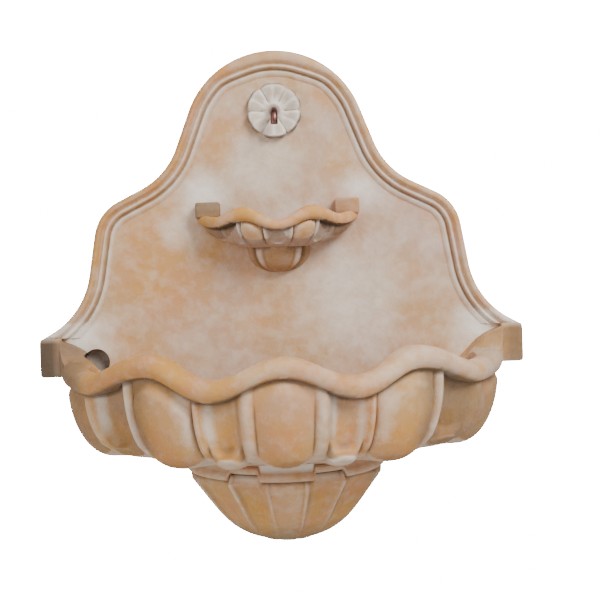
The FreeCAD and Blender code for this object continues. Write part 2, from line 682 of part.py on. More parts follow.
def bent_bar(radius):
    """A bar along the tube's centre line, with straight runs and stepped bends."""
    corners = [(vec(0, y, z), bend) for y, z, bend in tube_corners()]
    first = (corners[1][0] - corners[0][0]).normalize()
    last = (corners[-1][0] - corners[-2][0]).normalize()
    rings = [round_ring(corners[0][0], first, radius, TUBE_SIDES)]
    for before, here, after in zip(corners, corners[1:], corners[2:]):
        corner, bend = here
        inward = (corner - before[0]).normalize()
        outward = (after[0] - corner).normalize()
        centre = corner + (outward - inward) * bend
        for step in range(TUBE_BEND_STEPS + 1):
            turn = 0.5 * math.pi * step / TUBE_BEND_STEPS
            place = centre + (inward * math.sin(turn) - outward * math.cos(turn)) * bend
            heading = inward * math.cos(turn) + outward * math.sin(turn)
            rings.append(round_ring(place, heading, radius, TUBE_SIDES))
    rings.append(round_ring(corners[-1][0], last, radius, TUBE_SIDES))
    return through_rings(rings)


def copper_tube():
    """One soft copper tube, bent in place: spout, riser behind the panel, and drop to the pump."""
    return bent_bar(TUBE_RADIUS).cut(bent_bar(TUBE_RADIUS - TUBE_WALL))


def screw(x, z):
    """A countersunk screw driven forward from the back."""
    profile = ((0, SCREW_HEAD_RADIUS), (SCREW_HEAD_HEIGHT, SCREW_RADIUS), (SCREW_LENGTH, SCREW_RADIUS))
    return turned(profile, vec(x, 0, z), vec(0, -1, 0), SCREW_SIDES)


def screw_sink(x, z):
    """The countersunk hole for a screw in a plate at the back."""
    gap = FIT_CLEARANCE
    profile = ((0, SCREW_HEAD_RADIUS + gap), (SCREW_HEAD_HEIGHT, SCREW_RADIUS + gap), (SCREW_LENGTH, SCREW_RADIUS + gap))
    return turned(profile, vec(x, 0, z), vec(0, -1, 0), SCREW_SIDES)


def hanger_plates():
    """Two steel plates with keyholes, flush with the panel's back."""
    plates = []
    for side in (-1, 1):
        x = side * HANGER_SPACING / 2.0
        plate = box(x - HANGER_WIDTH / 2.0, x + HANGER_WIDTH / 2.0, -HANGER_THICK, 0,
                    -HANGER_HEIGHT / 2.0, HANGER_HEIGHT / 2.0)
        entry = rod(KEYHOLE_RADIUS, vec(x, 1, 0), vec(x, -2 * HANGER_THICK, 0))
        slot = box(x - KEY_SLOT_HALF, x + KEY_SLOT_HALF, -2 * HANGER_THICK, 1, 0, KEY_SLOT_RISE)
        top = rod(KEY_SLOT_HALF, vec(x, 1, KEY_SLOT_RISE), vec(x, -2 * HANGER_THICK, KEY_SLOT_RISE))
        sinks = [screw_sink(sx, sz) for sx, sz in hanger_screw_places() if sx * side > 0]
        plates.append(plate.cut([entry, slot, top] + sinks))
    return Part.makeCompound(plates)


def tube_straps():
    """Two flat copper straps let into the back, which keep the tube in its channel."""
    straps = []
    for height in STRAP_HEIGHTS:
        strap = box(-STRAP_LENGTH / 2.0, STRAP_LENGTH / 2.0, -STRAP_THICK, 0,
                    height - STRAP_WIDTH / 2.0, height + STRAP_WIDTH / 2.0)
        sinks = [screw_sink(sx, sz) for sx, sz in strap_screw_places() if sz == height]
        straps.append(strap.cut(sinks))
    return Part.makeCompound(straps)


def panel_screws():
    """The identical screws of the hangers and straps."""
    return Part.makeCompound([screw(x, z) for x, z in hanger_screw_places() + strap_screw_places()])


def casting_bolts():
    """M8 hexagon bolts, heads sunk in the panel's back."""
    bolts = []
    for x, z in bolt_places():
        seat = -BOLT_SEAT_DEPTH
        head = bar(BOLT_HEAD_RADIUS, vec(x, seat + BOLT_HEAD_HEIGHT, z), vec(x, seat, z), 6)
        shank = bar(BOLT_RADIUS, vec(x, seat, z), vec(x, seat - BOLT_LENGTH, z), BOLT_SIDES)
        bolts.append(head.fuse(shank))
    return Part.makeCompound(bolts)


def casting_inserts():
    """Brass inserts with a hexagon outside, set in the castings for the bolts."""
    inserts = []
    for x, z in bolt_places():
        sleeve = bar(INSERT_RADIUS, vec(x, FIELD_Y, z), vec(x, FIELD_Y - INSERT_LENGTH, z), 6)
        thread = bar(BOLT_RADIUS + FIT_CLEARANCE, vec(x, FIELD_Y + 1, z), vec(x, -BOLT_SEAT_DEPTH - BOLT_LENGTH, z),
                     BOLT_SIDES)
        inserts.append(sleeve.cut(thread))
    return Part.makeCompound(inserts)


def cord_bush():
    """Rubber bush at the back of the cord hole, with a bore for the pump's cord."""
    start = vec(CORD_HOLE_X, -1.0, CORD_HOLE_Z)
    end = vec(CORD_HOLE_X, -1.0 - CORD_BUSH_LENGTH, CORD_HOLE_Z)
    bush = bar(CORD_HOLE_RADIUS - FIT_CLEARANCE, start, end, 24)
    return bush.cut(rod(CORD_BORE_RADIUS, vec(CORD_HOLE_X, 1, CORD_HOLE_Z), vec(CORD_HOLE_X, -40, CORD_HOLE_Z)))


def foot_places():
    """Centres of the pump's four suction feet."""
    left = PUMP_FACE_X - PUMP_LENGTH
    xs = (left + FOOT_INSET, PUMP_FACE_X - FOOT_INSET)
    ys = (HOSE_Y - PUMP_DEPTH / 2.0 + FOOT_INSET, HOSE_Y + PUMP_DEPTH / 2.0 - FOOT_INSET)
    return [(x, y) for x in xs for y in ys]


def pump_body():
    """The pump's sealed housing, with the open impeller chamber, rotor well and outlet spigot."""
    left = PUMP_FACE_X - PUMP_LENGTH
    bottom = FLOOR_Z + FOOT_HEIGHT
    body = box(left, PUMP_FACE_X, HOSE_Y - PUMP_DEPTH / 2.0, HOSE_Y + PUMP_DEPTH / 2.0, bottom, PUMP_TOP)
    upright = [edge for edge in body.Edges if edge.BoundBox.ZLength > PUMP_HEIGHT / 2.0]
    body = body.makeFillet(PUMP_CORNER, upright)
    spigot = bar(OUTLET_RADIUS, vec(0, HOSE_Y, PUMP_TOP - 1), vec(0, HOSE_Y, PUMP_TOP + OUTLET_HEIGHT), HOSE_SIDES)
    well_end = PUMP_FACE_X - CHAMBER_DEPTH - WELL_DEPTH
    cuts = [
        bar(CHAMBER_RADIUS, vec(PUMP_FACE_X - CHAMBER_DEPTH, HOSE_Y, PUMP_AXIS_Z), vec(PUMP_FACE_X + 1, HOSE_Y, PUMP_AXIS_Z),
            ROUND_SIDES),
        bar(WELL_RADIUS, vec(well_end, HOSE_Y, PUMP_AXIS_Z), vec(PUMP_FACE_X, HOSE_Y, PUMP_AXIS_Z), ROUND_SIDES),
        rod(SHAFT_RADIUS + FIT_CLEARANCE, vec(well_end - SHAFT_SEAT - 0.1, HOSE_Y, PUMP_AXIS_Z), vec(PUMP_FACE_X, HOSE_Y, PUMP_AXIS_Z)),
        bar(OUTLET_BORE, vec(0, HOSE_Y, PUMP_AXIS_Z), vec(0, HOSE_Y, PUMP_TOP + OUTLET_HEIGHT + 1), HOSE_SIDES),
        bar(GLAND_RADIUS + FIT_CLEARANCE, vec(left - 1, HOSE_Y, PUMP_AXIS_Z), vec(left + GLAND_SEAT, HOSE_Y, PUMP_AXIS_Z),
            BOLT_SIDES),
    ]
    for x, y in foot_places():
        stem_hole = bar(FOOT_STEM_RADIUS + FIT_CLEARANCE, vec(x, y, bottom - 1), vec(x, y, bottom + FOOT_STEM), SCREW_SIDES)
        cuts.append(stem_hole)
    return body.fuse(spigot).cut(cuts).removeSplitter()


def intake_cover():
    """The slotted front cover that closes the impeller chamber and carries the dial's pin."""
    half = PUMP_DEPTH / 2.0
    bottom = FLOOR_Z + FOOT_HEIGHT
    inner = PUMP_FACE_X
    outer = PUMP_FACE_X + COVER_THICK
    cover = box(inner, outer, HOSE_Y - half, HOSE_Y + half, bottom, PUMP_TOP)
    upright = [edge for edge in cover.Edges if edge.BoundBox.ZLength > PUMP_HEIGHT / 2.0 and edge.BoundBox.XMin > inner + 1]
    cover = cover.makeFillet(PUMP_CORNER, upright)
    cuts = [
        box(inner - 1, outer - 2.5, HOSE_Y - half + 2.5, HOSE_Y + half - 2.5, bottom + 2.5, PUMP_TOP - 2.5),
    ]
    pitch = (PUMP_DEPTH - 10.0) / (COVER_SLOTS - 1)
    for index in range(COVER_SLOTS):
        y = HOSE_Y - (PUMP_DEPTH - 10.0) / 2.0 + pitch * index
        cuts.append(box(outer - 4, outer + 1, y - COVER_SLOT_WIDTH / 2.0, y + COVER_SLOT_WIDTH / 2.0, bottom + 5, PUMP_TOP - 5))
    cover = cover.cut(cuts)
    boss = bar(BOSS_RADIUS, vec(inner, HOSE_Y, PUMP_AXIS_Z), vec(outer, HOSE_Y, PUMP_AXIS_Z), BOLT_SIDES)
    pin = rod(DIAL_PIN_RADIUS, vec(outer - 1, HOSE_Y, PUMP_AXIS_Z), vec(outer + DIAL_THICK + 1.0, HOSE_Y, PUMP_AXIS_Z))
    seat = rod(SHAFT_RADIUS + FIT_CLEARANCE, vec(inner - 1, HOSE_Y, PUMP_AXIS_Z), vec(inner + SHAFT_SEAT + 0.1, HOSE_Y, PUMP_AXIS_Z))
    return cover.fuse([boss, pin]).cut(seat).removeSplitter()


def flow_dial():
    """The turning shutter over the intake slots, with a finger lever."""
    start = PUMP_FACE_X + COVER_THICK + 0.3
    disc = bar(DIAL_RADIUS, vec(start, HOSE_Y, PUMP_AXIS_Z), vec(start + DIAL_THICK, HOSE_Y, PUMP_AXIS_Z), ROUND_SIDES)
    lever = box(start, start + DIAL_THICK, HOSE_Y - 2, HOSE_Y + 2, PUMP_AXIS_Z + DIAL_RADIUS - 2, PUMP_AXIS_Z + DIAL_RADIUS + 5)
    hole = rod(DIAL_PIN_RADIUS + RUNNING_GAP, vec(start - 1, HOSE_Y, PUMP_AXIS_Z), vec(start + DIAL_THICK + 1, HOSE_Y, PUMP_AXIS_Z))
    return disc.fuse(lever).cut(hole)


def impeller():
    """The magnet rotor with straight blades, free to spin on its fixed shaft."""
    well_end = PUMP_FACE_X - CHAMBER_DEPTH - WELL_DEPTH
    rotor_start = well_end + 0.5
    blade_start = PUMP_FACE_X - CHAMBER_DEPTH + 0.5
    rotor = bar(ROTOR_RADIUS, vec(rotor_start, HOSE_Y, PUMP_AXIS_Z), vec(blade_start, HOSE_Y, PUMP_AXIS_Z), ROUND_SIDES)
    hub = bar(HUB_RADIUS, vec(blade_start, HOSE_Y, PUMP_AXIS_Z), vec(blade_start + BLADE_HEIGHT, HOSE_Y, PUMP_AXIS_Z),
              BOLT_SIDES)
    blades = []
    for index in range(BLADE_COUNT):
        blade = box(blade_start, blade_start + BLADE_HEIGHT, HOSE_Y - BLADE_THICK / 2.0, HOSE_Y + BLADE_THICK / 2.0,
                    PUMP_AXIS_Z, PUMP_AXIS_Z + BLADE_RADIUS)
        blade.rotate(vec(0, HOSE_Y, PUMP_AXIS_Z), vec(1, 0, 0), 360.0 / BLADE_COUNT * index)
        blades.append(blade)
    bore = rod(SHAFT_RADIUS + RUNNING_GAP, vec(rotor_start - 1, HOSE_Y, PUMP_AXIS_Z),
               vec(blade_start + BLADE_HEIGHT + 1, HOSE_Y, PUMP_AXIS_Z))
    return rotor.fuse([hub] + blades).cut(bore).removeSplitter()


def impeller_shaft():
    """The ceramic pin that the impeller spins on, seated in the well's end and in the cover."""
    well_end = PUMP_FACE_X - CHAMBER_DEPTH - WELL_DEPTH
    return rod(SHAFT_RADIUS, vec(well_end - SHAFT_SEAT, HOSE_Y, PUMP_AXIS_Z),
               vec(PUMP_FACE_X + SHAFT_SEAT, HOSE_Y, PUMP_AXIS_Z))


def suction_feet():
    """Four rubber suction feet with stems pressed into the pump's base."""
    profile = ((0, FOOT_RADIUS), (0.35 * FOOT_HEIGHT, FOOT_RADIUS), (FOOT_HEIGHT, FOOT_STEM_RADIUS + 1.0),
               (FOOT_HEIGHT, FOOT_STEM_RADIUS), (FOOT_HEIGHT + FOOT_STEM - 0.2, FOOT_STEM_RADIUS))
    return Part.makeCompound([turned(profile, vec(x, y, FLOOR_Z), vec(0, 0, 1), SCREW_SIDES) for x, y in foot_places()])


def cord_gland():
    """Rubber gland on the pump's end, where its cord goes in."""
    left = PUMP_FACE_X - PUMP_LENGTH
    seat = vec(left + GLAND_SEAT, HOSE_Y, PUMP_AXIS_Z)
    mouth = vec(left + GLAND_SEAT - GLAND_LENGTH, HOSE_Y, PUMP_AXIS_Z)
    gland = bar(GLAND_RADIUS, seat, mouth, BOLT_SIDES)
    bore = bar(GLAND_BORE, vec(left, HOSE_Y, PUMP_AXIS_Z), vec(mouth.x - 1, HOSE_Y, PUMP_AXIS_Z), BOLT_SIDES)
    return gland.cut(bore)


def outlet_hose():
    """A short straight length of vinyl hose that joins the pump's spigot to the copper tube."""
    top = PUMP_TOP + OUTLET_HEIGHT + TUBE_END_GAP + HOSE_GRIP
    bottom = PUMP_TOP + OUTLET_HEIGHT - HOSE_OVERLAP
    hose = bar(HOSE_RADIUS, vec(0, HOSE_Y, bottom), vec(0, HOSE_Y, top), HOSE_SIDES)
    bore = bar(OUTLET_RADIUS + FIT_CLEARANCE, vec(0, HOSE_Y, bottom - 1), vec(0, HOSE_Y, top + 1), HOSE_SIDES)
    return hose.cut(bore)


def hose_clamp():
    """A steel band clamp with its screw housing, round the hose."""
    middle = PUMP_TOP + OUTLET_HEIGHT - HOSE_OVERLAP / 2.0
    low = vec(0, HOSE_Y, middle - CLAMP_WIDTH / 2.0)
    high = vec(0, HOSE_Y, middle + CLAMP_WIDTH / 2.0)
    inner = HOSE_RADIUS + FIT_CLEARANCE
    ring = bar(inner + CLAMP_THICK, low, high, HOSE_SIDES)
    housing = box(-5, 5, HOSE_Y - inner - 5, HOSE_Y - inner, low.z, high.z)
    bore = bar(inner, vec(0, HOSE_Y, low.z - 1), vec(0, HOSE_Y, high.z + 1), HOSE_SIDES)
    return ring.fuse(housing).cut(bore)


NODES = {
    "back_panel": back_panel,
    "rosette": rosette,
    "upper_cup": upper_cup,
    "basin": basin,
    "corbel": corbel,
    "copper_tube": copper_tube,
    "tube_straps": tube_straps,
    "hanger_plates": hanger_plates,
    "panel_screws": panel_screws,
    "casting_bolts": casting_bolts,
    "casting_inserts": casting_inserts,
    "cord_bush": cord_bush,
    "pump_body": pump_body,
    "intake_cover": intake_cover,
    "flow_dial": flow_dial,
    "impeller": impeller,
    "impeller_shaft": impeller_shaft,
    "suction_feet": suction_feet,
    "cord_gland": cord_gland,
    "outlet_hose": outlet_hose,
    "hose_clamp": hose_clamp,
}

os.makedirs("parts", exist_ok=True)
for name, maker in NODES.items():
    shape = maker()
    shape.exportStep("parts/" + name + ".step")
    print(name, "solids", len(shape.Solids), "valid", shape.isValid(), "volume", round(shape.Volume))
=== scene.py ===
import math

import bmesh
import bpy
from mathutils import Matrix, Vector, kdtree


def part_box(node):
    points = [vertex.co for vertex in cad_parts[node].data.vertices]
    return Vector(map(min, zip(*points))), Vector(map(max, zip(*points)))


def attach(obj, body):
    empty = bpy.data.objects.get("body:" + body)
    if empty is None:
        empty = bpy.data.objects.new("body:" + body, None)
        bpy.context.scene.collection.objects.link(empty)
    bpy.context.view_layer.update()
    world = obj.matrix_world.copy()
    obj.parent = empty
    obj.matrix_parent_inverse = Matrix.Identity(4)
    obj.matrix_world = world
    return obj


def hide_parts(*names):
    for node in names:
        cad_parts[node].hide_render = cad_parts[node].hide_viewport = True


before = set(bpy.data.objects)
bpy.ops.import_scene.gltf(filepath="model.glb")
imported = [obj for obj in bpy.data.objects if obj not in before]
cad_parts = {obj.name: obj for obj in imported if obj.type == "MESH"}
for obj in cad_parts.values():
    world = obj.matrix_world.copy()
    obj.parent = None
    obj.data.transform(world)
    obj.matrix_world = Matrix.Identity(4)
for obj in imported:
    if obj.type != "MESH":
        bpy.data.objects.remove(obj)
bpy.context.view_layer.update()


# The back panel is one slab of cast stone, cast face down, with a moulded border, a bead and two ears.
# Its back has recesses for the supply tube, the bolt heads and the two keyhole hangers.
# Like every casting here it is stained ochre and washed with thin white, and grime lies in its grooves;
# painted shade and painted highlights are laid on with the same colours.
FIELD_Y = -0.033
PANEL_LOW, PANEL_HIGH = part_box("back_panel")
EAR_HALF = PANEL_HIGH.x
EAR_Y = PANEL_LOW.y
EAR_TOP = -0.1312
EAR_BOTTOM = -0.181
EAR_INNER = 0.2911
EAR_SINK = 0.001
CROWN_TOP = PANEL_HIGH.z
CROWN_X = 0.0835
PANEL_FOOT_X = 0.0612
PANEL_FOOT_Z = -0.404
# The outline's right half, from the crown down: (across, height, radius of the rounding).
PANEL_CORNERS = (
    (CROWN_X, CROWN_TOP, 0.1214), (0.1452, 0.0799, 0.097), (0.238, 0.0344, 0.060), (0.2608, -0.0996, 0.106),
    (EAR_HALF, EAR_TOP, 0.008), (EAR_HALF, EAR_BOTTOM, 0.004), (0.2722, EAR_BOTTOM, 0.001),
    (0.2522, -0.279, 0.030), (0.1277, -0.279, 0.001), (0.1277, -0.312, 0.012),
    (PANEL_FOOT_X, PANEL_FOOT_Z, 0.1164))
EDGE_STEP = 0.004
FIELD_GRID = 0.012
GRID_SHIFT = 0.0003
GRID_HEIGHT = 0.42
FLAT_ERROR = 1e-6


def walk(corners, spacing):
    """(point, inward direction) pairs along rounded corners, walked clockwise seen from the front."""
    pairs = []
    for before, here, after in zip(corners, corners[1:], corners[2:]):
        corner = Vector((here[0], 0.0, here[1]))
        arrive = (corner - Vector((before[0], 0.0, before[1]))).normalized()
        leave = (Vector((after[0], 0.0, after[1])) - corner).normalized()
        sweep = arrive.angle(leave)
        side = 1.0 if arrive.z * leave.x - arrive.x * leave.z > 0 else -1.0
        centre = corner + (leave - arrive).normalized() * (here[2] / math.cos(sweep / 2))
        steps = max(2, round(sweep * here[2] / spacing))
        for step in range(steps + 1):
            turn = side * sweep * step / steps
            inward = Vector((arrive.z * math.cos(turn) - arrive.x * math.sin(turn), 0.0,
                             -arrive.x * math.cos(turn) - arrive.z * math.sin(turn)))
            place = centre - inward * (side * here[2])
            if pairs and (place - pairs[-1][0]).length > 1.5 * spacing:
                start, towards = pairs[-1]
                gaps = math.ceil((place - start).length / spacing)
                pairs += [(start.lerp(place, gap / gaps), towards.lerp(inward, gap / gaps))
                          for gap in range(1, gaps)]
            pairs.append((place, inward))
    return pairs


def both_sides(pairs):
    """The same pairs, after their mirror images on the left."""
    mirror = Vector((-1.0, 1.0, 1.0))
    return [(place * mirror, inward * mirror) for place, inward in reversed(pairs)] + pairs


def add_piece(name, points, faces):
    """A new object from points and faces, with its normals set outward."""
    mesh = bpy.data.meshes.new(name)
    mesh.from_pydata([tuple(point) for point in points], [], faces)
    work = bmesh.new()
    work.from_mesh(mesh)
    bmesh.ops.recalc_face_normals(work, faces=work.faces)
    work.to_mesh(mesh)
    work.free()
    piece = bpy.data.objects.new(name, mesh)
    bpy.context.scene.collection.objects.link(piece)
    return piece


def prism(name, outline, depth):
    """A solid from a closed outline, drawn out by the vector depth."""
    count = len(outline)
    faces = [tuple(range(count)), tuple(range(2 * count - 1, count - 1, -1))]
    faces += [(index, (index + 1) % count, (index + 1) % count + count, index + count)
              for index in range(count)]
    return add_piece(name, list(outline) + [point + depth for point in outline], faces)


def block(x0, x1, y0, y1, z0, z1):
    """A box for cutting or joining, between two corners."""
    outline = [Vector((x0, y0, z0)), Vector((x1, y0, z0)), Vector((x1, y0, z1)), Vector((x0, y0, z1))]
    return prism("block", outline, Vector((0.0, y1 - y0, 0.0)))


def round_bar(centre, radius, depth, sides=48):
    """A round bar for cutting, that starts at centre and runs along depth."""
    along = depth.normalized()
    across = along.orthogonal().normalized()
    other = along.cross(across)
    turns = [2 * math.pi * index / sides for index in range(sides)]
    return prism("bar", [centre + across * (radius * math.cos(turn)) + other * (radius * math.sin(turn))
                         for turn in turns], depth)


def shape_with(piece, others, operation):
    """Join other solids to the piece, or cut them from it, and keep only the result."""
    for other in others:
        change = piece.modifiers.new("shape", "BOOLEAN")
        change.operation = operation
        change.solver = "EXACT"
        change.object = other
    result = bpy.data.meshes.new_from_object(piece.evaluated_get(bpy.context.evaluated_depsgraph_get()))
    piece.modifiers.clear()
    piece.data = result
    for other in others:
        bpy.data.objects.remove(other)
    return piece


def tube_of_rings(name, rings):
    """A solid through rings that all have equally many points, flat at both ends."""
    count = len(rings[0])
    points = [point for ring in rings for point in ring]
    faces = [tuple(range(count)), tuple(range(len(points) - 1, len(points) - count - 1, -1))]
    for start in range(0, len(points) - count, count):
        faces += [(start + index, start + (index + 1) % count, start + (index + 1) % count + count,
                   start + index + count) for index in range(count)]
    return add_piece(name, points, faces)


def slice_piece(piece, cuts, drop_rest=False):
    """Split a piece's faces along planes, each a point and a direction, and close any gap that is left."""
    work = bmesh.new()
    work.from_mesh(piece.data)
    for place, direction in cuts:
        bmesh.ops.bisect_plane(work, geom=work.verts[:] + work.edges[:] + work.faces[:], dist=FLAT_ERROR,
                               clear_outer=drop_rest, plane_co=place, plane_no=direction)
    bmesh.ops.holes_fill(work, edges=[rim for rim in work.edges if rim.is_boundary], sides=0)
    work.to_mesh(piece.data)
    work.free()
    return piece


def soften(piece, degrees):
    """Smooth shading, apart from edges sharper than this."""
    piece.data.shade_smooth()
    piece.data.set_sharp_from_angle(angle=math.radians(degrees))


def fade(value, low, high):
    """0 below low, 1 above high, and a smooth rise between them."""
    share = min(1.0, max(0.0, (value - low) / (high - low)))
    return share * share * (3 - 2 * share)


# How hollow the surface has to be before grime and painted shade start to lie in it, and where they lie
# thickest.
GROOVE = (0.06, 0.34)
# Broader hollows take a wider, fainter painted shade.
WIDE_GROOVE = (0.02, 0.14)
WIDE_SHARE = 0.75
# How proud of its surroundings a ridge has to be before a painted highlight, in the wash's colour, starts to
# show on it, and shows fully.
RIDGE = (0.05, 0.26)
SHORTEST_STEP = 0.002


def hollows(mesh, spread):
    """How hollow the surface is at each point, close by and around: above 0 in a groove, below on a ridge."""
    joined = [[] for vertex in mesh.vertices]
    for line in mesh.edges:
        first, second = line.vertices
        joined[first].append(second)
        joined[second].append(first)
    close = []
    for vertex, others in zip(mesh.vertices, joined):
        steps = [mesh.vertices[other].co - vertex.co for other in others]
        bends = [vertex.normal.dot(step) / max(step.length, SHORTEST_STEP) for step in steps]
        close.append(sum(bends) / max(1, len(bends)))
    around = close
    for turn in range(spread):
        around = [0.5 * value + 0.5 * sum(around[other] for other in others) / max(1, len(others))
                  for value, others in zip(around, joined)]
    return close, around


def stain_and_shading(piece, rule, hollow_grime_and_shade, ridge_wash_and_highlight, spread):
    """Store how much ochre, how much wash or painted highlight, and how much grime or painted shade each
    point takes, by a rule of its place and by its hollows.
    """
    tints = piece.data.color_attributes.new("stain_and_shading", "FLOAT_COLOR", "POINT")
    close, around = hollows(piece.data, spread)
    for vertex, tint, near, wide in zip(piece.data.vertices, tints.data, close, around):
        ochre, wash_and_highlight, grime_and_shade = rule(vertex.co)
        # Grime and painted shade in the hollows, and a painted highlight on the ridges.
        grime_and_shade = max(grime_and_shade, hollow_grime_and_shade * max(fade(near, *GROOVE), WIDE_SHARE * fade(wide, *WIDE_GROOVE)))
        wash_and_highlight = max(wash_and_highlight, ridge_wash_and_highlight * fade(-near, *RIDGE))
        tint.color = (ochre, wash_and_highlight, grime_and_shade, 1.0)


def nodes_of(material):
    """Makers for a material's nodes, one that adds and one that joins two sockets, and its own shader."""
    material.use_nodes = True
    tree = material.node_tree

    def add(kind, **settings):
        node = tree.nodes.new("ShaderNode" + kind)
        for key, value in settings.items():
            setattr(node, key, value)
        return node

    return add, tree.links.new, tree.nodes["Principled BSDF"]


STONE_TAN = (0.56, 0.348, 0.165)
STONE_ROSE = (0.575, 0.405, 0.34)
STONE_OCHRE = (0.64, 0.305, 0.055)
STONE_RUST = (0.64, 0.275, 0.090)
# The wash colour also paints highlights, and the grime colour also paints shade.
STONE_WASH_AND_HIGHLIGHT = (0.93, 0.86, 0.77)
STONE_GRIME_AND_SHADE = (0.095, 0.060, 0.032)
STONE_SPECK = (0.62, 0.58, 0.55)
WHITE = (1.0, 1.0, 1.0)
# The colour sockets of a Mix node, which has others of the same names.
MIX_FIRST, MIX_SECOND, MIX_RESULT = 6, 7, 2


def washed_stone_and_shading():
    """Matt cast stone: mottled ochre stain under a thin white wash, with grime in the grooves. The wash
    colour also paints highlights, and the grime colour also paints shade.
    """
    material = bpy.data.materials.new("washed_stone_and_shading")
    add, link, shader = nodes_of(material)
    place = add("TexCoord").outputs["Object"]
    parts = add("SeparateColor")
    link(add("Attribute", attribute_name="stain_and_shading").outputs["Color"], parts.inputs["Color"])
    ochre, wash_and_highlight, grime_and_shade = parts.outputs

    def mottle(scale, detail, low, high):
        """Noise of a fineness, drawn out so that it is 0 under its low level and 1 over its high one."""
        cloud = add("TexNoise")
        link(place, cloud.inputs["Vector"])
        cloud.inputs["Scale"].default_value = scale
        cloud.inputs["Detail"].default_value = detail
        cloud.inputs["Roughness"].default_value = 0.55
        spread = add("MapRange", interpolation_type="SMOOTHSTEP")
        link(cloud.outputs["Fac"], spread.inputs["Value"])
        spread.inputs["From Min"].default_value = low
        spread.inputs["From Max"].default_value = high
        return spread.outputs["Result"]

    def sum_up(first, second, scale, offset):
        """The first times the scale, plus the second and the offset, from 0 to 1."""
        step = add("Math", operation="MULTIPLY_ADD")
        link(first, step.inputs[0])
        step.inputs[1].default_value = scale
        link(second, step.inputs[2])
        shift = add("Math", operation="ADD", use_clamp=True)
        link(step.outputs[0], shift.inputs[0])
        shift.inputs[1].default_value = offset
        return shift.outputs[0]

    def times(first, second):
        """The two multiplied, from 0 to 1."""
        step = add("Math", operation="MULTIPLY", use_clamp=True)
        link(first, step.inputs[0])
        link(second, step.inputs[1])
        return step.outputs[0]

    def tint(share, first, second):
        """From the first colour to the second. Each is a plain colour or another node's."""
        blend = add("Mix", data_type="RGBA")
        link(share, blend.inputs["Factor"])
        for socket, colour in ((blend.inputs[MIX_FIRST], first), (blend.inputs[MIX_SECOND], second)):
            if isinstance(colour, tuple):
                socket.default_value = (*colour, 1.0)
            else:
                link(colour, socket)
        return blend.outputs[MIX_RESULT]

    clouds = mottle(6.5, 2.0, 0.30, 0.70)
    drifts = mottle(13.0, 2.5, 0.30, 0.70)
    patches = mottle(32.0, 3.5, 0.30, 0.70)
    flecks = mottle(80.0, 4.0, 0.32, 0.72)
    grains = mottle(620.0, 3.0, 0.35, 0.75)

    # The bare stone is tan to rose. The stain, the wash with its painted highlights and the grime with its
    # painted shade lie over it, uneven at their edges.
    plain = add("Math", operation="SUBTRACT", use_clamp=True)
    plain.inputs[0].default_value = 1.0
    link(ochre, plain.inputs[1])
    body = tint(times(clouds, plain.outputs[0]), STONE_TAN, STONE_ROSE)
    glow = tint(mottle(17.0, 3.0, 0.36, 0.66), STONE_OCHRE, STONE_RUST)
    smears = mottle(44.0, 3.0, 0.30, 0.70)
    warmth = sum_up(drifts, ochre, 0.32, -0.12)
    body = tint(sum_up(smears, warmth, 0.24, -0.12), body, glow)
    veil = sum_up(patches, wash_and_highlight, 0.22, -0.11)
    body = tint(sum_up(flecks, veil, 0.16, -0.08), body, STONE_WASH_AND_HIGHLIGHT)
    body = tint(times(grime_and_shade, sum_up(patches, grime_and_shade, 0.5, 0.25)), body, STONE_GRIME_AND_SHADE)
    speckle = add("Mix", data_type="RGBA", blend_type="MULTIPLY")
    speckle.inputs["Factor"].default_value = 0.16
    link(body, speckle.inputs[MIX_FIRST])
    link(tint(grains, STONE_SPECK, WHITE), speckle.inputs[MIX_SECOND])
    link(speckle.outputs[MIX_RESULT], shader.inputs["Base Color"])

    # It is matt, a little more so in patches.
    rough = add("MapRange")
    link(patches, rough.inputs["Value"])
    rough.inputs["To Min"].default_value = 0.62
    rough.inputs["To Max"].default_value = 0.86
    link(rough.outputs["Result"], shader.inputs["Roughness"])

    # Its surface is uneven from broad swellings down to fine grains.
    last = None
    for height, reach, strength in ((clouds, 0.0012, 0.35), (patches, 0.0008, 0.5), (flecks, 0.0005, 0.6),
                                    (grains, 0.00012, 0.5)):
        bump = add("Bump")
        bump.inputs["Distance"].default_value = reach
        bump.inputs["Strength"].default_value = strength
        link(height, bump.inputs["Height"])
        if last:
            link(last.outputs["Normal"], bump.inputs["Normal"])
        last = bump
    link(last.outputs["Normal"], shader.inputs["Normal"])
    return material


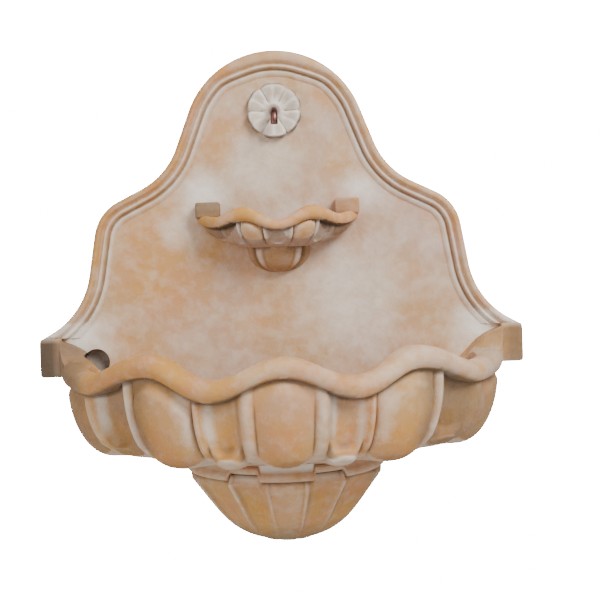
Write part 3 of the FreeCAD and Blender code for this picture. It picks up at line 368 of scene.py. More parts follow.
def finish(name, light, dark, rough, metal=0.0, scale=60.0, clear=0.0):
    """A worn finish: two colours mixed in clouds, with uneven roughness and a fine surface."""
    material = bpy.data.materials.new(name)
    add, link, shader = nodes_of(material)
    place = add("TexCoord").outputs["Object"]
    clouds = add("TexNoise")
    clouds.inputs["Scale"].default_value = scale
    clouds.inputs["Detail"].default_value = 5.0
    fine = add("TexNoise")
    fine.inputs["Scale"].default_value = 14 * scale
    fine.inputs["Detail"].default_value = 3.0
    for texture in (clouds, fine):
        link(place, texture.inputs["Vector"])
    ramp = add("ValToRGB")
    ramp.color_ramp.elements[0].position = 0.35
    ramp.color_ramp.elements[0].color = (*dark, 1.0)
    ramp.color_ramp.elements[1].position = 0.65
    ramp.color_ramp.elements[1].color = (*light, 1.0)
    link(clouds.outputs["Fac"], ramp.inputs["Fac"])
    link(ramp.outputs["Color"], shader.inputs["Base Color"])
    spread = add("MapRange")
    spread.inputs["To Min"].default_value = rough - 0.10
    spread.inputs["To Max"].default_value = rough + 0.12
    link(clouds.outputs["Fac"], spread.inputs["Value"])
    link(spread.outputs["Result"], shader.inputs["Roughness"])
    surface = add("Bump")
    surface.inputs["Distance"].default_value = 0.0002
    surface.inputs["Strength"].default_value = 0.4
    link(fine.outputs["Fac"], surface.inputs["Height"])
    link(surface.outputs["Normal"], shader.inputs["Normal"])
    shader.inputs["Metallic"].default_value = metal
    shader.inputs["Transmission Weight"].default_value = clear
    return material


stone = washed_stone_and_shading()
edge = both_sides(walk(((-CROWN_X, CROWN_TOP, 0.0),) + PANEL_CORNERS + ((-PANEL_FOOT_X, PANEL_FOOT_Z, 0.0),),
                       EDGE_STEP))
panel = prism("stone_panel", [place for place, inward in edge], Vector((0.0, FIELD_Y, 0.0)))

# Its faces are split in a grid, so that the stain and the painted shading can change across them.
grid = []
for normal, reach in ((Vector((1.0, 0.0, 0.0)), EAR_HALF), (Vector((0.0, 0.0, 1.0)), GRID_HEIGHT)):
    lines = int(reach / FIELD_GRID)
    grid += [(normal * (index * FIELD_GRID + GRID_SHIFT), normal) for index in range(-lines, lines + 1)]
slice_piece(panel, grid)

# The border's section from the panel's edge inward, in millimetres: (distance from the edge, height over
# the field). It is a rolled edge, a bead beside it, a groove, and a low lip that runs into the field.
MM = 0.001
BORDER_SHAPE = (
    (0.3, -2.0), (0.3, 4.0), (1.0, 7.5), (2.8, 10.4), (5.2, 11.9), (7.6, 11.6), (9.4, 10.0), (10.8, 7.8),
    (11.7, 6.4), (12.4, 6.0), (13.2, 6.8), (14.6, 7.8), (16.2, 7.6), (17.4, 6.2), (18.2, 3.6), (18.8, 1.2),
    (20.4, 0.9), (21.1, 2.4), (22.6, 3.0), (25.0, 2.2), (28.0, 0.8), (31.0, -2.0))
BEAD_MIDDLE = 15.0
GROOVE_MIDDLE = 19.6
LIP_MIDDLE = 23.2
BORDER_WIDTH = 31.0
BORDER_CORNERS = 5
BORDER_OVERRUN = 0.05
CROWN_SLACK = 0.006
SLACK_WIDTH = 9.0


def crown_slack(place):
    """How much wider the border's rolled edge is at the crown's top than elsewhere."""
    return CROWN_SLACK * fade(place.z, CROWN_TOP - 0.035, CROWN_TOP - 0.005)


def border_ring(place, inward):
    """The border's section at one place on the outline."""
    return [place + inward * (across * MM + crown_slack(place) * min(1.0, across / SLACK_WIDTH))
            + Vector((0.0, FIELD_Y - rise * MM, 0.0)) for across, rise in BORDER_SHAPE]


# The border runs on past the ears' tops and is cut off there, where the ears' square blocks begin.
EAR_LEVEL = EAR_TOP + 0.0008
border_half = walk(((-CROWN_X, CROWN_TOP, 0.0),) + PANEL_CORNERS[:BORDER_CORNERS], EDGE_STEP)
last_place, last_inward = border_half[-1]
border_half.append((last_place + Vector((-last_inward.z, 0.0, last_inward.x)) * BORDER_OVERRUN, last_inward))
border = tube_of_rings("border", [border_ring(place, inward) for place, inward in both_sides(border_half)])
slice_piece(border, [(Vector((0.0, 0.0, EAR_LEVEL)), Vector((0.0, 0.0, -1.0)))], drop_rest=True)

# The ears get extra edges where their stain and painted shading change.
EAR_SPLITS_X = (0.2945, 0.2985, 0.303, 0.311)
EAR_SPLITS_Z = (-0.1335, -0.137, -0.145, -0.160)
# A cutter stands out this far past what it cuts, and goes this deep to pass right through.
CUT_PAST = 0.01
CUT_THROUGH = 0.1
ears = []
for side in (-1, 1):
    ear = prism("ear", [place + Vector((0.0, FIELD_Y + EAR_SINK, 0.0)) for place, inward in edge],
                Vector((0.0, EAR_Y - FIELD_Y - EAR_SINK, 0.0)))
    inner, outer = sorted((side * EAR_INNER, side * (EAR_HALF + CUT_PAST)))
    shape_with(ear, [block(inner, outer, -CUT_THROUGH, 0.0, EAR_BOTTOM - CUT_PAST, EAR_LEVEL)], "INTERSECT")
    splits = [(Vector((side * across, 0.0, 0.0)), Vector((1.0, 0.0, 0.0))) for across in EAR_SPLITS_X]
    splits += [(Vector((0.0, 0.0, level)), Vector((0.0, 0.0, 1.0))) for level in EAR_SPLITS_Z]
    ears.append(slice_piece(ear, splits))
shape_with(panel, [border] + ears, "UNION")

TUBE_Z = (0.159, -0.178)
TUBE_BORE = 0.00576
CHANNEL_HALF = 0.011
CHANNEL_DEPTH = 0.014
BEND_POCKET_HALF = 0.0109
BEND_POCKET_DEPTH = 0.027
BEND_POCKET_REACH = 0.026
HANGER_X = 0.2032
HANGER_HALF = 0.0161
HANGER_REACH = 0.0351
HANGER_THICK = 0.003
KEY_WELL_HALF = 0.010
KEY_WELL_TOP = 0.0272
KEY_WELL_DEPTH = 0.016
# The bolts on each side, for the basin, the corbel and the cup: (across, height).
BOLTS = ((0.175, -0.240), (0.062, -0.325), (0.0925, 0.0315))
BOLT_HOLE_RADIUS = 0.0041
BOLT_SOCKET_RADIUS = 0.012
BOLT_SOCKET_DEPTH = 0.012
CORD_HOLE = Vector((-0.247, 0.0, -0.1638))
CORD_HOLE_RADIUS = 0.0175


def back_recess(middle, half, depth, low, high):
    """A block that cuts a recess into the panel's back, between two heights."""
    return block(middle - half, middle + half, -depth, CUT_PAST, low, high)


def back_hole(x, z, radius, depth, sides=48):
    """A bar that cuts a round hole into the panel from the back."""
    return round_bar(Vector((x, CUT_PAST, z)), radius, Vector((0.0, -depth - CUT_PAST, 0.0)), sides)


recesses = [
    back_recess(0.0, CHANNEL_HALF, CHANNEL_DEPTH, TUBE_Z[1], TUBE_Z[0]),
    back_recess(0.0, BEND_POCKET_HALF, BEND_POCKET_DEPTH,
                TUBE_Z[0] - BEND_POCKET_REACH, TUBE_Z[0] + CHANNEL_HALF),
    back_recess(0.0, BEND_POCKET_HALF, BEND_POCKET_DEPTH,
                TUBE_Z[1] - CHANNEL_HALF, TUBE_Z[1] + BEND_POCKET_REACH)]
recesses += [back_hole(0.0, z, TUBE_BORE, CUT_THROUGH) for z in TUBE_Z]
recesses.append(back_hole(CORD_HOLE.x, CORD_HOLE.z, CORD_HOLE_RADIUS, CUT_THROUGH))
for side in (-1, 1):
    recesses.append(back_recess(side * HANGER_X, HANGER_HALF, HANGER_THICK, -HANGER_REACH, HANGER_REACH))
    recesses.append(back_recess(side * HANGER_X, KEY_WELL_HALF, KEY_WELL_DEPTH, -KEY_WELL_HALF, KEY_WELL_TOP))
    for x, z in BOLTS:
        recesses.append(back_hole(side * x, z, BOLT_SOCKET_RADIUS, BOLT_SOCKET_DEPTH))
        recesses.append(back_hole(side * x, z, BOLT_HOLE_RADIUS, CUT_THROUGH, 16))
slice_piece(shape_with(panel, recesses, "DIFFERENCE"), [])
soften(panel, 32)
panel.data.materials.append(stone)

# The wall of the cord hole is painted near black, as painted shade deep in the hole.
panel.data.materials.append(finish("shaded_stone", (0.075, 0.052, 0.036), (0.050, 0.034, 0.024), 0.85))
for face in panel.data.polygons:
    from_hole = face.center - CORD_HOLE
    in_hole = math.hypot(from_hole.x, from_hole.z) < CORD_HOLE_RADIUS + 0.0002
    face.material_index = int(in_hole and abs(face.normal.y) < 0.5)

# Soft spots on the field, where the wash lies thick and where the ochre shows:
# (across, height, full within this distance, gone beyond this one, strength).
WASH_SPOTS = (
    (-0.098, 0.050, 0.008, 0.050, 0.80), (0.112, 0.052, 0.006, 0.042, 0.60),
    (-0.266, -0.130, 0.006, 0.035, 1.0), (0.266, -0.130, 0.006, 0.035, 1.0),
    (0.02, -0.01, 0.02, 0.08, 0.22), (0.09, -0.09, 0.02, 0.10, 0.42), (-0.02, 0.09, 0.02, 0.06, 0.30),
    (-0.125, 0.005, 0.01, 0.045, 0.35))
OCHRE_SPOTS = (
    (-0.15, -0.03, 0.03, 0.12, 0.62), (0.10, 0.10, 0.01, 0.05, 0.45), (-0.085, 0.13, 0.01, 0.06, 0.42),
    (0.17, -0.09, 0.02, 0.08, 0.30), (0.0, -0.09, 0.02, 0.12, 0.34), (0.07, 0.19, 0.01, 0.04, 0.32))
edge_tree = kdtree.KDTree(len(edge))
for index, (place, inward) in enumerate(edge):
    edge_tree.insert(place, index)
edge_tree.balance()


def strongest(spots, flat):
    """The strongest of the soft spots at a place on the field."""
    return max(strength * (1 - fade((flat - Vector((x, 0.0, z))).length, inner, outer))
               for x, z, inner, outer, strength in spots)


def ear_stain_and_shading(point):
    """Dark on the ears' faces and pale along their top edges, the right ear lighter than the left. The left
    ear's extra darkness is painted shadow from the basin, the right one's lightness is painted light, and the
    pale top edges are partly wash and partly a painted highlight.
    """
    dark = fade(abs(point.x), EAR_INNER, EAR_INNER + 0.014)
    top = fade(point.z, EAR_TOP - 0.005, EAR_TOP)
    # The left ear is darker with painted shadow from the basin, the right lighter with painted light; the top
    # edges get a painted highlight, partly wash.
    if point.x < 0:
        return 0.35 - 0.15 * dark, -0.05 + 0.05 * dark + 0.40 * top, (0.64 + 0.36 * dark) * (1 - 0.5 * top)
    return 0.60 - 0.10 * dark, -0.10 + 0.10 * dark + 0.50 * top, (0.42 + 0.26 * dark) * (1 - 0.6 * top)


def panel_stain_and_shading(point):
    """Tan on the border, white on the bead and the field's edge, and dark in the groove between them. The
    border's band is painted paler towards the top and the right, as painted light.
    """
    if point.y > FIELD_Y + 0.002:
        return 0.15, 0.25, 0.10
    if abs(point.x) > EAR_INNER - 0.002 and point.z < EAR_TOP + 0.003:
        return ear_stain_and_shading(point)
    flat = Vector((point.x, 0.0, point.z))
    from_spout = (flat - Vector((0.0, 0.0, TUBE_Z[0]))).length
    halo = 0.55 * fade(from_spout, 0.024, 0.027) * (1 - fade(from_spout, 0.030, 0.037))
    beside_basin = 0.55 * fade(abs(point.x), 0.20, 0.26) * fade(-point.z, 0.085, 0.125)
    haze = max(strongest(WASH_SPOTS, flat), beside_basin, halo)
    warm = strongest(OCHRE_SPOTS, flat)
    place, inward = edge[edge_tree.find(flat)[1]]
    across = ((flat - place).dot(inward) - crown_slack(place)) / MM
    if point.z < EAR_TOP + 0.02 or across > BORDER_WIDTH:
        low = fade(-point.z, 0.05, 0.14) * fade(abs(point.x), 0.10, 0.22)
        return 0.08 + max(warm, 0.35 * low), 0.12 - 0.10 * warm + haze, 0.0
    groove = max(0.0, 1.0 - abs(across - GROOVE_MIDDLE) / 1.8)
    bead = max(0.0, 1.0 - abs(across - BEAD_MIDDLE) / 2.6)
    lip = max(0.0, 1.0 - abs(across - LIP_MIDDLE) / 3.2)
    band = 1.0 - fade(across, 8.0, 12.0)
    # Painted light: the band is paler towards the top and the right, and less dark to the right.
    high = fade(point.z, 0.13, 0.20)
    painted_light = fade(point.x, -0.10, 0.16)
    on_band = 0.12 + (0.10 * high + 0.24 * painted_light - 0.12) * band
    return (0.24 + 0.56 * band, max(on_band, 0.60 * bead, 0.80 * lip, haze * (1 - 0.5 * band)),
            max(0.85 * groove, (0.14 - 0.06 * painted_light) * band))


stain_and_shading(panel, panel_stain_and_shading, hollow_grime_and_shade=0.28, ridge_wash_and_highlight=0.15, spread=2)
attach(panel, "fountain")
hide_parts("back_panel")


# The basin is a half-round bowl in one casting, with bellies and flutes round it and a waved rim roll.
# Its low back wall, inside, takes the bolts; a shoulder at each end runs into the panel's ear.
BASIN_LOW, BASIN_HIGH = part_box("basin")
ROLL_PROUD = 0.006
ROLL_WIDTH = 0.018
BASIN_HALF = BASIN_HIGH.x - ROLL_PROUD
BASIN_REACH = FIELD_Y - BASIN_LOW.y - ROLL_PROUD
BASIN_BOTTOM = BASIN_LOW.z
BASIN_FLOOR = BASIN_BOTTOM + 0.018
# Round the front from the middle to the wall: (degrees, where the rim's top lies), and (degrees, how high
# the roll is itself). The roll's section is turned from under it, over its front, to its inside.
RIM = ((0, -0.1475), (18, -0.1725), (35, -0.1425), (59, -0.1685), (90, -0.160))
ROLL = ((0, 0.0265), (35, 0.0290), (59, 0.0275), (90, 0.0275))
ROLL_TURNS = range(-80, 151, 15)
# Round the front from the middle: (where each form ends, in degrees, and how far it swells).
# A form that swells more than BELLY_LEAST is a belly, a lesser one is a rib, and one below 0 is a flute.
BASIN_FORMS = ((7.3, 0.0100), (11.3, 0.0034), (20.4, -0.0150), (23.2, 0.0034), (40.9, 0.0120), (44.0, 0.0034),
               (58.1, -0.0150), (63.0, 0.0034), (100.0, 0.0080))
BELLY_LEAST = 0.0035
# The numbers of some of its forms, counted from the middle outwards.
INNER_FLUTE, MAIN_BELLY, OUTER_FLUTE, LAST_RIB, END_FORM = 2, 4, 6, 7, 8
CREASE_DEPTH = 0.0028
CREASE_WIDTH = 0.8
SCALLOP_RISE = 0.0075
# Shares of the plan's width: under the basin, at the side's foot and its growth upward, and inside likewise.
BASE_SHARE = 0.66
FOOT_SHARE, SIDE_GROWTH = 0.785, 0.185
INSIDE_SHARE, INSIDE_GROWTH = 0.70, 0.175
LIP_DROP = 0.022


def ease(stations, degrees):
    """A value that swings smoothly from one (angle, value) station to the next, alike left and right."""
    turn = abs(degrees)
    for (angle_a, value_a), (angle_b, value_b) in zip(stations, stations[1:]):
        if turn <= angle_b:
            share = (turn - angle_a) / (angle_b - angle_a)
            return value_a + (value_b - value_a) * (0.5 - 0.5 * math.cos(math.pi * share))
    return stations[-1][1]


def form_at(forms, degrees):
    """Which form an angle falls in: its number, the place across it from 0 to 1, and its swell."""
    turn = abs(degrees)
    start = -forms[0][0]
    for number, (end, swell) in enumerate(forms):
        if turn <= end:
            return number, (turn - start) / (end - start), swell
        start = end
    return len(forms) - 1, 1.0, 0.0


def columns(forms, spacing):
    """Angles from the left wall round the front to the right wall, with one at each form's end."""
    half = [0.0]
    for end, swell in forms:
        start = half[-1]
        count = max(4, round((min(end, 90.0) - start) / spacing))
        half += [start + (min(end, 90.0) - start) * (index + 1) / count for index in range(count)]
    return [-angle for angle in half[:0:-1]] + half


def round_front(size, angles, height, out_at):
    """Half a ring round the front, from the left at the wall to the right. Both rules take the angle."""
    ring = []
    for degrees in angles:
        across = size[0] * math.sin(math.radians(degrees))
        forward = size[1] * math.cos(math.radians(degrees))
        plan = math.hypot(across, forward)
        scale = out_at(degrees, plan) / plan
        ring.append(Vector((across * scale, FIELD_Y - forward * scale, height(degrees))))
    return ring


def crease_at(forms, degrees):
    """1 on the line between two forms, falling to 0 about a degree away from it."""
    gap = min(abs(abs(degrees) - end) for end, swell in forms[1:])
    return math.exp(-(gap / CREASE_WIDTH) ** 2)


def swell_at(forms, degrees, drop):
    """How far the side stands out at an angle, a share of the way from under the rim down to the bottom."""
    number, share, swell = form_at(forms, degrees)
    crease = CREASE_DEPTH * crease_at(forms, degrees) * (1 - fade(drop, 0.85, 1.0))
    if swell > BELLY_LEAST:
        arch = 0.03 + 0.20 * abs(2 * share - 1) ** 2.5
        rise = math.sin(math.pi * share) ** (0.6 if number else 0.85)
        return swell * rise * fade(drop, arch - 0.05, arch + 0.14) - crease
    if swell < 0:
        hollow = 1 - abs(2 * share - 1) ** 2.2
        arch = 0.89 - 0.09 * math.sin(math.pi * share)
        nose = 0.50 * math.sin(math.pi * share) ** 0.5 * fade(drop, arch - 0.03, arch + 0.05)
        return swell * (hollow * (1 - fade(drop, 0.56 + 0.12 * hollow, 0.76 + 0.10 * hollow)) - nose) - crease
    return 1.5 * swell * math.sin(math.pi * share) ** 0.8 * (1 - fade(drop, 0.78, 0.93)) - crease


def foot_rise(forms, degrees):
    """How far the side's lower edge lifts between the bellies, which gives it a scalloped line."""
    number, share, swell = form_at(forms, degrees)
    if swell > BELLY_LEAST:
        return SCALLOP_RISE * abs(2 * share - 1) ** 2.2
    if swell < 0:
        return SCALLOP_RISE * abs(2 * share - 1) ** 3 if number < MAIN_BELLY else 1.2 * SCALLOP_RISE
    return SCALLOP_RISE


def quarter_turn(steps, power=1.0):
    """Angles from 0 to a quarter turn, evenly spaced, or with a power below 1 farther apart at the start."""
    return [math.radians(90 * (step / (steps - 1)) ** power) for step in range(steps)]


def roll_ring(size, angles, rim, roll, proud, width, turn):
    """A ring of the rolled rim at a turn round its section: -90 under it, 0 at the front, 90 on top."""
    out = proud - width + width * abs(math.cos(math.radians(turn))) ** 0.8 * (1 if turn <= 90 else -1)
    drop = 0.5 - 0.5 * math.sin(math.radians(turn))
    return round_front(size, angles, lambda degrees: ease(rim, degrees) - drop * ease(roll, degrees),
                       lambda degrees, plan: plan + out)


def bowl_of(name, rings):
    """A solid through half rings that start and end at the wall, flat there and at its two end rings."""
    count = len(rings[0])
    last = (len(rings) - 1) * count
    faces = [tuple(range(count)), tuple(range(last, last + count)),
             tuple(range(0, last + 1, count)) + tuple(range(last + count - 1, 0, -count))]
    for start in range(0, last, count):
        faces += [(index, index + 1, index + 1 + count, index + count)
                  for index in range(start, start + count - 1)]
    return add_piece(name, [point for ring in rings for point in ring], faces)


basin_size = (BASIN_HALF, BASIN_REACH)
basin_columns = columns(BASIN_FORMS, 0.55)
basin_rings = [round_front(basin_size, basin_columns, lambda degrees: BASIN_BOTTOM,
                           lambda degrees, plan: BASE_SHARE * plan)]
for sweep in quarter_turn(40, 0.85):
    rise = 1 - math.cos(sweep)

    def basin_level(degrees, rise=rise):
        foot = BASIN_BOTTOM + 0.0006 + foot_rise(BASIN_FORMS, degrees)
        return foot + rise * (ease(RIM, degrees) - ease(ROLL, degrees) + 0.0015 - foot)

    def basin_side(degrees, plan, rise=rise, sweep=sweep):
        share = FOOT_SHARE + SIDE_GROWTH * math.sin(sweep)
        return share * (plan + swell_at(BASIN_FORMS, degrees, 1 - rise))

    basin_rings.append(round_front(basin_size, basin_columns, basin_level, basin_side))
for turn in ROLL_TURNS:
    basin_rings.append(roll_ring(basin_size, basin_columns, RIM, ROLL, ROLL_PROUD, ROLL_WIDTH, turn))
for sweep in quarter_turn(12):
    def inside_level(degrees, sweep=sweep):
        return BASIN_FLOOR + (ease(RIM, degrees) - LIP_DROP - BASIN_FLOOR) * (1 - math.sin(sweep))

    def inside_face(degrees, plan, sweep=sweep):
        return plan * (INSIDE_SHARE + INSIDE_GROWTH * math.cos(sweep))

    basin_rings.append(round_front(basin_size, basin_columns, inside_level, inside_face))
basin = bowl_of("stone_basin", basin_rings)

# The back wall's outline: (share of the basin's half width, height), alike left and right.
BACK_WALL = ((0.915, -0.205), (0.87, -0.250), (0.75, -0.275))
BACK_WALL_THICK = 0.024
back_wall = prism("wall", [Vector((share * BASIN_HALF, FIELD_Y, z)) for share, z in BACK_WALL]
                  + [Vector((-share * BASIN_HALF, FIELD_Y, z)) for share, z in reversed(BACK_WALL)],
                  Vector((0.0, -BACK_WALL_THICK, 0.0)))

# The shoulder's top line at the panel, from the ear inwards, and how far in front of the field it reaches.
SHOULDER = ((0.2916, -0.1335), (0.2850, -0.1365), (0.2780, -0.1390), (0.2680, -0.1440), (0.2585, -0.1505),
            (0.2470, -0.1625), (0.2350, -0.1740), (0.2220, -0.1800))
SHOULDER_REACH = 0.056
SHOULDER_POINTS = 19
SHOULDER_UNDER_OUTER, SHOULDER_UNDER_INNER = -0.1800, -0.1865
# Where its sections lie in front of the field, in millimetres, close together where it leaves the ear.
SHOULDER_SECTIONS = (0, 3, 5.9, 6.3, 7.2, 8.5, 10, 12, 14, 16, 16.9, 17.15, 17.6, 18.5, 20, 22, 25, 29, 34,
                     40, 47, 56)
# The roll's crest under the shoulder: its place across, its height, half its width, and its fall beside.
CREST_X, CREST_Z, CREST_HALF, CREST_FALL = 0.2610, -0.1640, 0.018, 0.0137


def shoulder_top(across):
    """The height of the shoulder's top line at a distance from the middle."""
    for (x_a, z_a), (x_b, z_b) in zip(SHOULDER, SHOULDER[1:]):
        if across >= x_b:
            return z_b + (z_a - z_b) * min(1.0, (across - x_b) / (x_a - x_b))
    return SHOULDER[-1][1]


def shoulder_ring(side, proud):
    """The shoulder's section at a distance in front of the field. It falls in a cove to the roll's crest."""
    outer = SHOULDER[0][0] - 0.0130 * fade(proud, 0.0172, 0.040)
    inner = SHOULDER[-1][0] + 0.028 * fade(proud, 0.0, 0.030)
    line = []
    for step in range(SHOULDER_POINTS):
        across = outer + (inner - outer) * step / (SHOULDER_POINTS - 1)
        face = 0.006 + 0.011 * fade(across, 0.240, 0.268)
        share = min(1.0, max(0.0, (proud - face) / (SHOULDER_REACH - face)))
        beside = min(0.98, abs(across - CREST_X) / CREST_HALF)
        crest = CREST_Z - CREST_FALL * (1 - math.sqrt(1 - beside ** 2))
        top = shoulder_top(across)
        if top > crest:
            top = crest + (top - crest) * (1 - math.sqrt(1 - (1 - share) ** 2))
        line.append(Vector((side * across, FIELD_Y - proud, top)))
    return line + [Vector((side * inner, FIELD_Y - proud, SHOULDER_UNDER_INNER)),
                   Vector((side * outer, FIELD_Y - proud, SHOULDER_UNDER_OUTER))]


shoulders = [tube_of_rings("shoulder", [shoulder_ring(side, proud * MM) for proud in SHOULDER_SECTIONS])
             for side in (-1, 1)]
shape_with(basin, [back_wall] + shoulders, "UNION")

# The cord's way goes on through the shoulder beside the left ear, this far in front of the field.
CORD_WAY_REACH = 0.018
cord_way = round_bar(CORD_HOLE, CORD_HOLE_RADIUS, Vector((0.0, FIELD_Y - CORD_WAY_REACH, 0.0)))
shape_with(basin, [cord_way], "DIFFERENCE")
soften(basin, 40)

NUDGE = 0.35
# How much ochre and how much wash the basin's ribs take, from the middle outwards; the wash peaks on each
# rib's crest as a painted highlight.
RIB_OCHRE = (0.50, 0.75, 0.35, 0.40)
RIB_LIGHT = (0.32, 0.05, 0.42, 0.25)


def either_side(rule):
    """A round piece's rule, averaged NUDGE degrees to both sides, so that no tint stops dead at an edge."""
    return lambda point: [0.5 * (low + high) for low, high in zip(rule(point, -NUDGE), rule(point, NUDGE))]


def place_round(point, size, nudge):
    """A point's angle from the middle of the front, and how far out it lies as a share of the plan."""
    side = abs(point.x) / size[0]
    front = (FIELD_Y - point.y) / size[1]
    return abs(math.degrees(math.atan2(side, max(front, 1e-6))) + nudge), math.hypot(side, front)


def on_shoulder(point, share, below):
    """Whether a point lies on a shoulder, and not on the rim's roll beside it."""
    proud = FIELD_Y - point.y
    return (abs(point.x) > BASIN_HALF - 0.064 and point.z > SHOULDER_UNDER_INNER - 0.004 and share < 1.03
            and (proud < 0.0175 or below < -0.0004) and proud < SHOULDER_REACH - 0.0005)


def shoulder_stain_and_shading(point, below):
    """Brown on the shoulders, a little darker towards their tops, and lighter on the right one: painted shade
    on the left one and painted light on the right.
    """
    high = fade(-below, 0.0, 0.012)
    # Painted shade on the left shoulder, painted light on the right one.
    if point.x < 0:
        return 0.45 - 0.10 * high, -0.05, 0.56 + 0.10 * high
    return 0.50 + 0.10 * high, 0.10 - 0.20 * high, 0.34 + 0.08 * high


def flute_stain_and_shading(point, number, across, drop, shade_under, right):
    """White streaks down the flutes, partly wash and partly painted light on their left sides, and at the
    inner ones' feet a pale nose, a painted highlight, under a dark line of painted shade.
    """
    inner = number == INNER_FLUTE
    left_side = across if point.x < 0 else 1 - across
    middle = math.sin(math.pi * across)
    arch = 0.90 - 0.08 * middle
    nose = fade(drop, arch - 0.01, arch + 0.02) * inner
    # Painted light, partly wash: white streaks down each flute's left side.
    streak = 0.62 * fade(left_side, 0.66, 0.88) * (1 - fade(drop, 0.35 + 0.1 * inner, 0.75)) - 0.10
    streak = max(streak, 0.38 * fade(across, 0.76, 0.90) * right * inner * (1 - fade(drop, 0.6, 0.8)))
    dull = (0.50 + 0.10 * right) * (number == OUTER_FLUTE)
    # Dark lines along the inner flutes' inner edges, and a dark line of painted shade above the noses.
    inner_line = 0.70 * (1 - fade(across, 0.02, 0.12)) * inner * (1 - nose)
    arc_line = max(inner_line, 0.36 * (1 - fade(abs(drop - arch + 0.035), 0.0, 0.04)))
    # A painted highlight on the nose's upper part, stronger on the right.
    edge_light = nose * (1 - fade(drop, arch + 0.03, arch + 0.08)) * (0.20 + 0.40 * (point.x > 0))
    return (0.35 + 0.55 * middle * fade(drop, 0.15, 0.5) * (1 - nose),
            max(streak * (1 - nose), 0.25 * nose + edge_light),
            max(shade_under * (1 - nose), dull * (1 - max(0.0, streak)), arc_line))


def basin_stain_and_shading(point, nudge):
    """Ochre on the roll and the bellies, white on the ribs and in the flutes, painted shade under the roll,
    and painted light and shade across the roll, the bellies and the foot.
    """
    degrees, share = place_round(point, basin_size, nudge)
    below = ease(RIM, degrees) - point.z
    if on_shoulder(point, share, below):
        return shoulder_stain_and_shading(point, below)
    if share < 0.86 and below > 0.012:
        return 0.25, 0.25, 0.15
    right = fade(point.x, -0.04, 0.16)
    roll = ease(ROLL, degrees)
    # On the roll, painted light makes it paler in the middle and on the right, and painted shade darkens its
    # ends, more on the left.
    if below < roll - 0.003:
        end = fade(abs(point.x), 0.235, 0.265)
        painted_light = max(right, 1 - fade(abs(point.x), 0.03, 0.12))
        return (1.0 - 0.35 * painted_light - 0.4 * end, 0.40 * max(1.15 * right, painted_light) - 0.20,
                0.10 + 0.56 * end * (1 - 0.5 * right) - 0.08 * painted_light)
    drop = (below - roll) / (ease(RIM, degrees) - roll - BASIN_BOTTOM)
    number, across, swell = form_at(BASIN_FORMS, degrees)
    # Painted shade under the roll.
    shade_under = 0.8 * (1 - fade(below, roll, roll + 0.007))
    middle = math.sin(math.pi * across)
    # Painted shade along the side's foot.
    foot = fade(drop, 0.80, 0.98)
    # Painted light and shade on the side bellies: paler on their inner sides, darker on their outer sides.
    if number in (0, MAIN_BELLY):
        beside = number == MAIN_BELLY
        shade = 0.58 * fade(across, 0.40, 0.90) * beside * (1 - fade(drop, 0.75, 0.97))
        painted_light = 0.42 * (1 - fade(across, 0.10, 0.42)) * beside * (1 - fade(drop, 0.55, 0.90))
        return (0.50 - 0.1 * right + 0.40 * fade(drop, 0.20, 0.6) * middle, painted_light - 0.12,
                max(shade_under, shade, 0.50 * foot))
    if number == END_FORM:
        return 0.60, -0.15, max(shade_under, 0.50 - 0.05 * right, 0.5 * foot)
    if swell < 0:
        return flute_stain_and_shading(point, number, across, drop, shade_under, right)
    rib = number // 2
    light = RIB_LIGHT[rib] - 0.25 * right * (number == LAST_RIB)
    return (RIB_OCHRE[rib], light * middle * (1 - foot),
            max(shade_under, 0.55 * foot, 0.5 * right * (number == LAST_RIB)))


stain_and_shading(basin, either_side(basin_stain_and_shading), hollow_grime_and_shade=0.70, ridge_wash_and_highlight=0.30, spread=6)
basin.data.materials.append(stone)
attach(basin, "fountain")
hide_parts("basin")


# The upper cup catches the spout's water and spills it into the basin. It is a small shell-shaped casting
# with a rolled rim, two square ears and a three-lobed pendant, bolted through its ears.
CUP_LOW, CUP_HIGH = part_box("upper_cup")
CUP_PROUD = 0.0035
CUP_ROLL_WIDTH = 0.0085
CUP_HALF = CUP_HIGH.x - CUP_PROUD
CUP_REACH = FIELD_Y - CUP_LOW.y - CUP_PROUD
CUP_BOTTOM = -0.020
CUP_FLOOR = -0.007
CUP_TOP = CUP_HIGH.z
CUP_RIM = ((0, 0.0150), (26.5, 0.0325), (52, 0.0215), (90, 0.0275))
CUP_ROLL = ((0, 0.0145), (26.5, 0.0185), (52, 0.0160), (90, 0.0125))
CUP_FORMS = ((8.6, -0.0055), (12.5, 0.0018), (31.5, 0.0062), (34.5, 0.0018), (47.0, -0.0050), (51.0, 0.0014),
             (100.0, 0.0024))
CUP_EAR_WIDTH = 0.032
CUP_EAR_DEPTH = 0.024
CUP_EAR_HEIGHT = 0.021
CUP_EAR_ROUNDING = 0.003
# The low wall that closes the bowl at the panel: its share of the width, its thickness, and its heights.
CUP_WALL_SHARE, CUP_WALL_THICK = 0.70, 0.012
CUP_WALL_LOW, CUP_WALL_HIGH = -0.009, 0.012
# The numbers of some of its forms, counted from the middle outwards.
CUP_MIDDLE, CUP_BELLY, CUP_FLUTE, CUP_RIBS = 0, 2, 4, (1, 3)
PENDANT_LOBES = 3
cup_size = (CUP_HALF, CUP_REACH)
cup_columns = columns(CUP_FORMS, 1.0)


def pendant_swell(degrees):
    """Three lobes round the pendant, with a sharp valley at each side of the middle one."""
    return 0.0072 * abs(math.cos(math.radians(PENDANT_LOBES * degrees / 2))) ** 0.6 - 0.004


def cup_foot(degrees):
    """The height of the bowl's lower edge, which lifts towards the wall."""
    return CUP_BOTTOM + 0.0005 + 0.0060 * fade(abs(degrees), 40.0, 80.0)


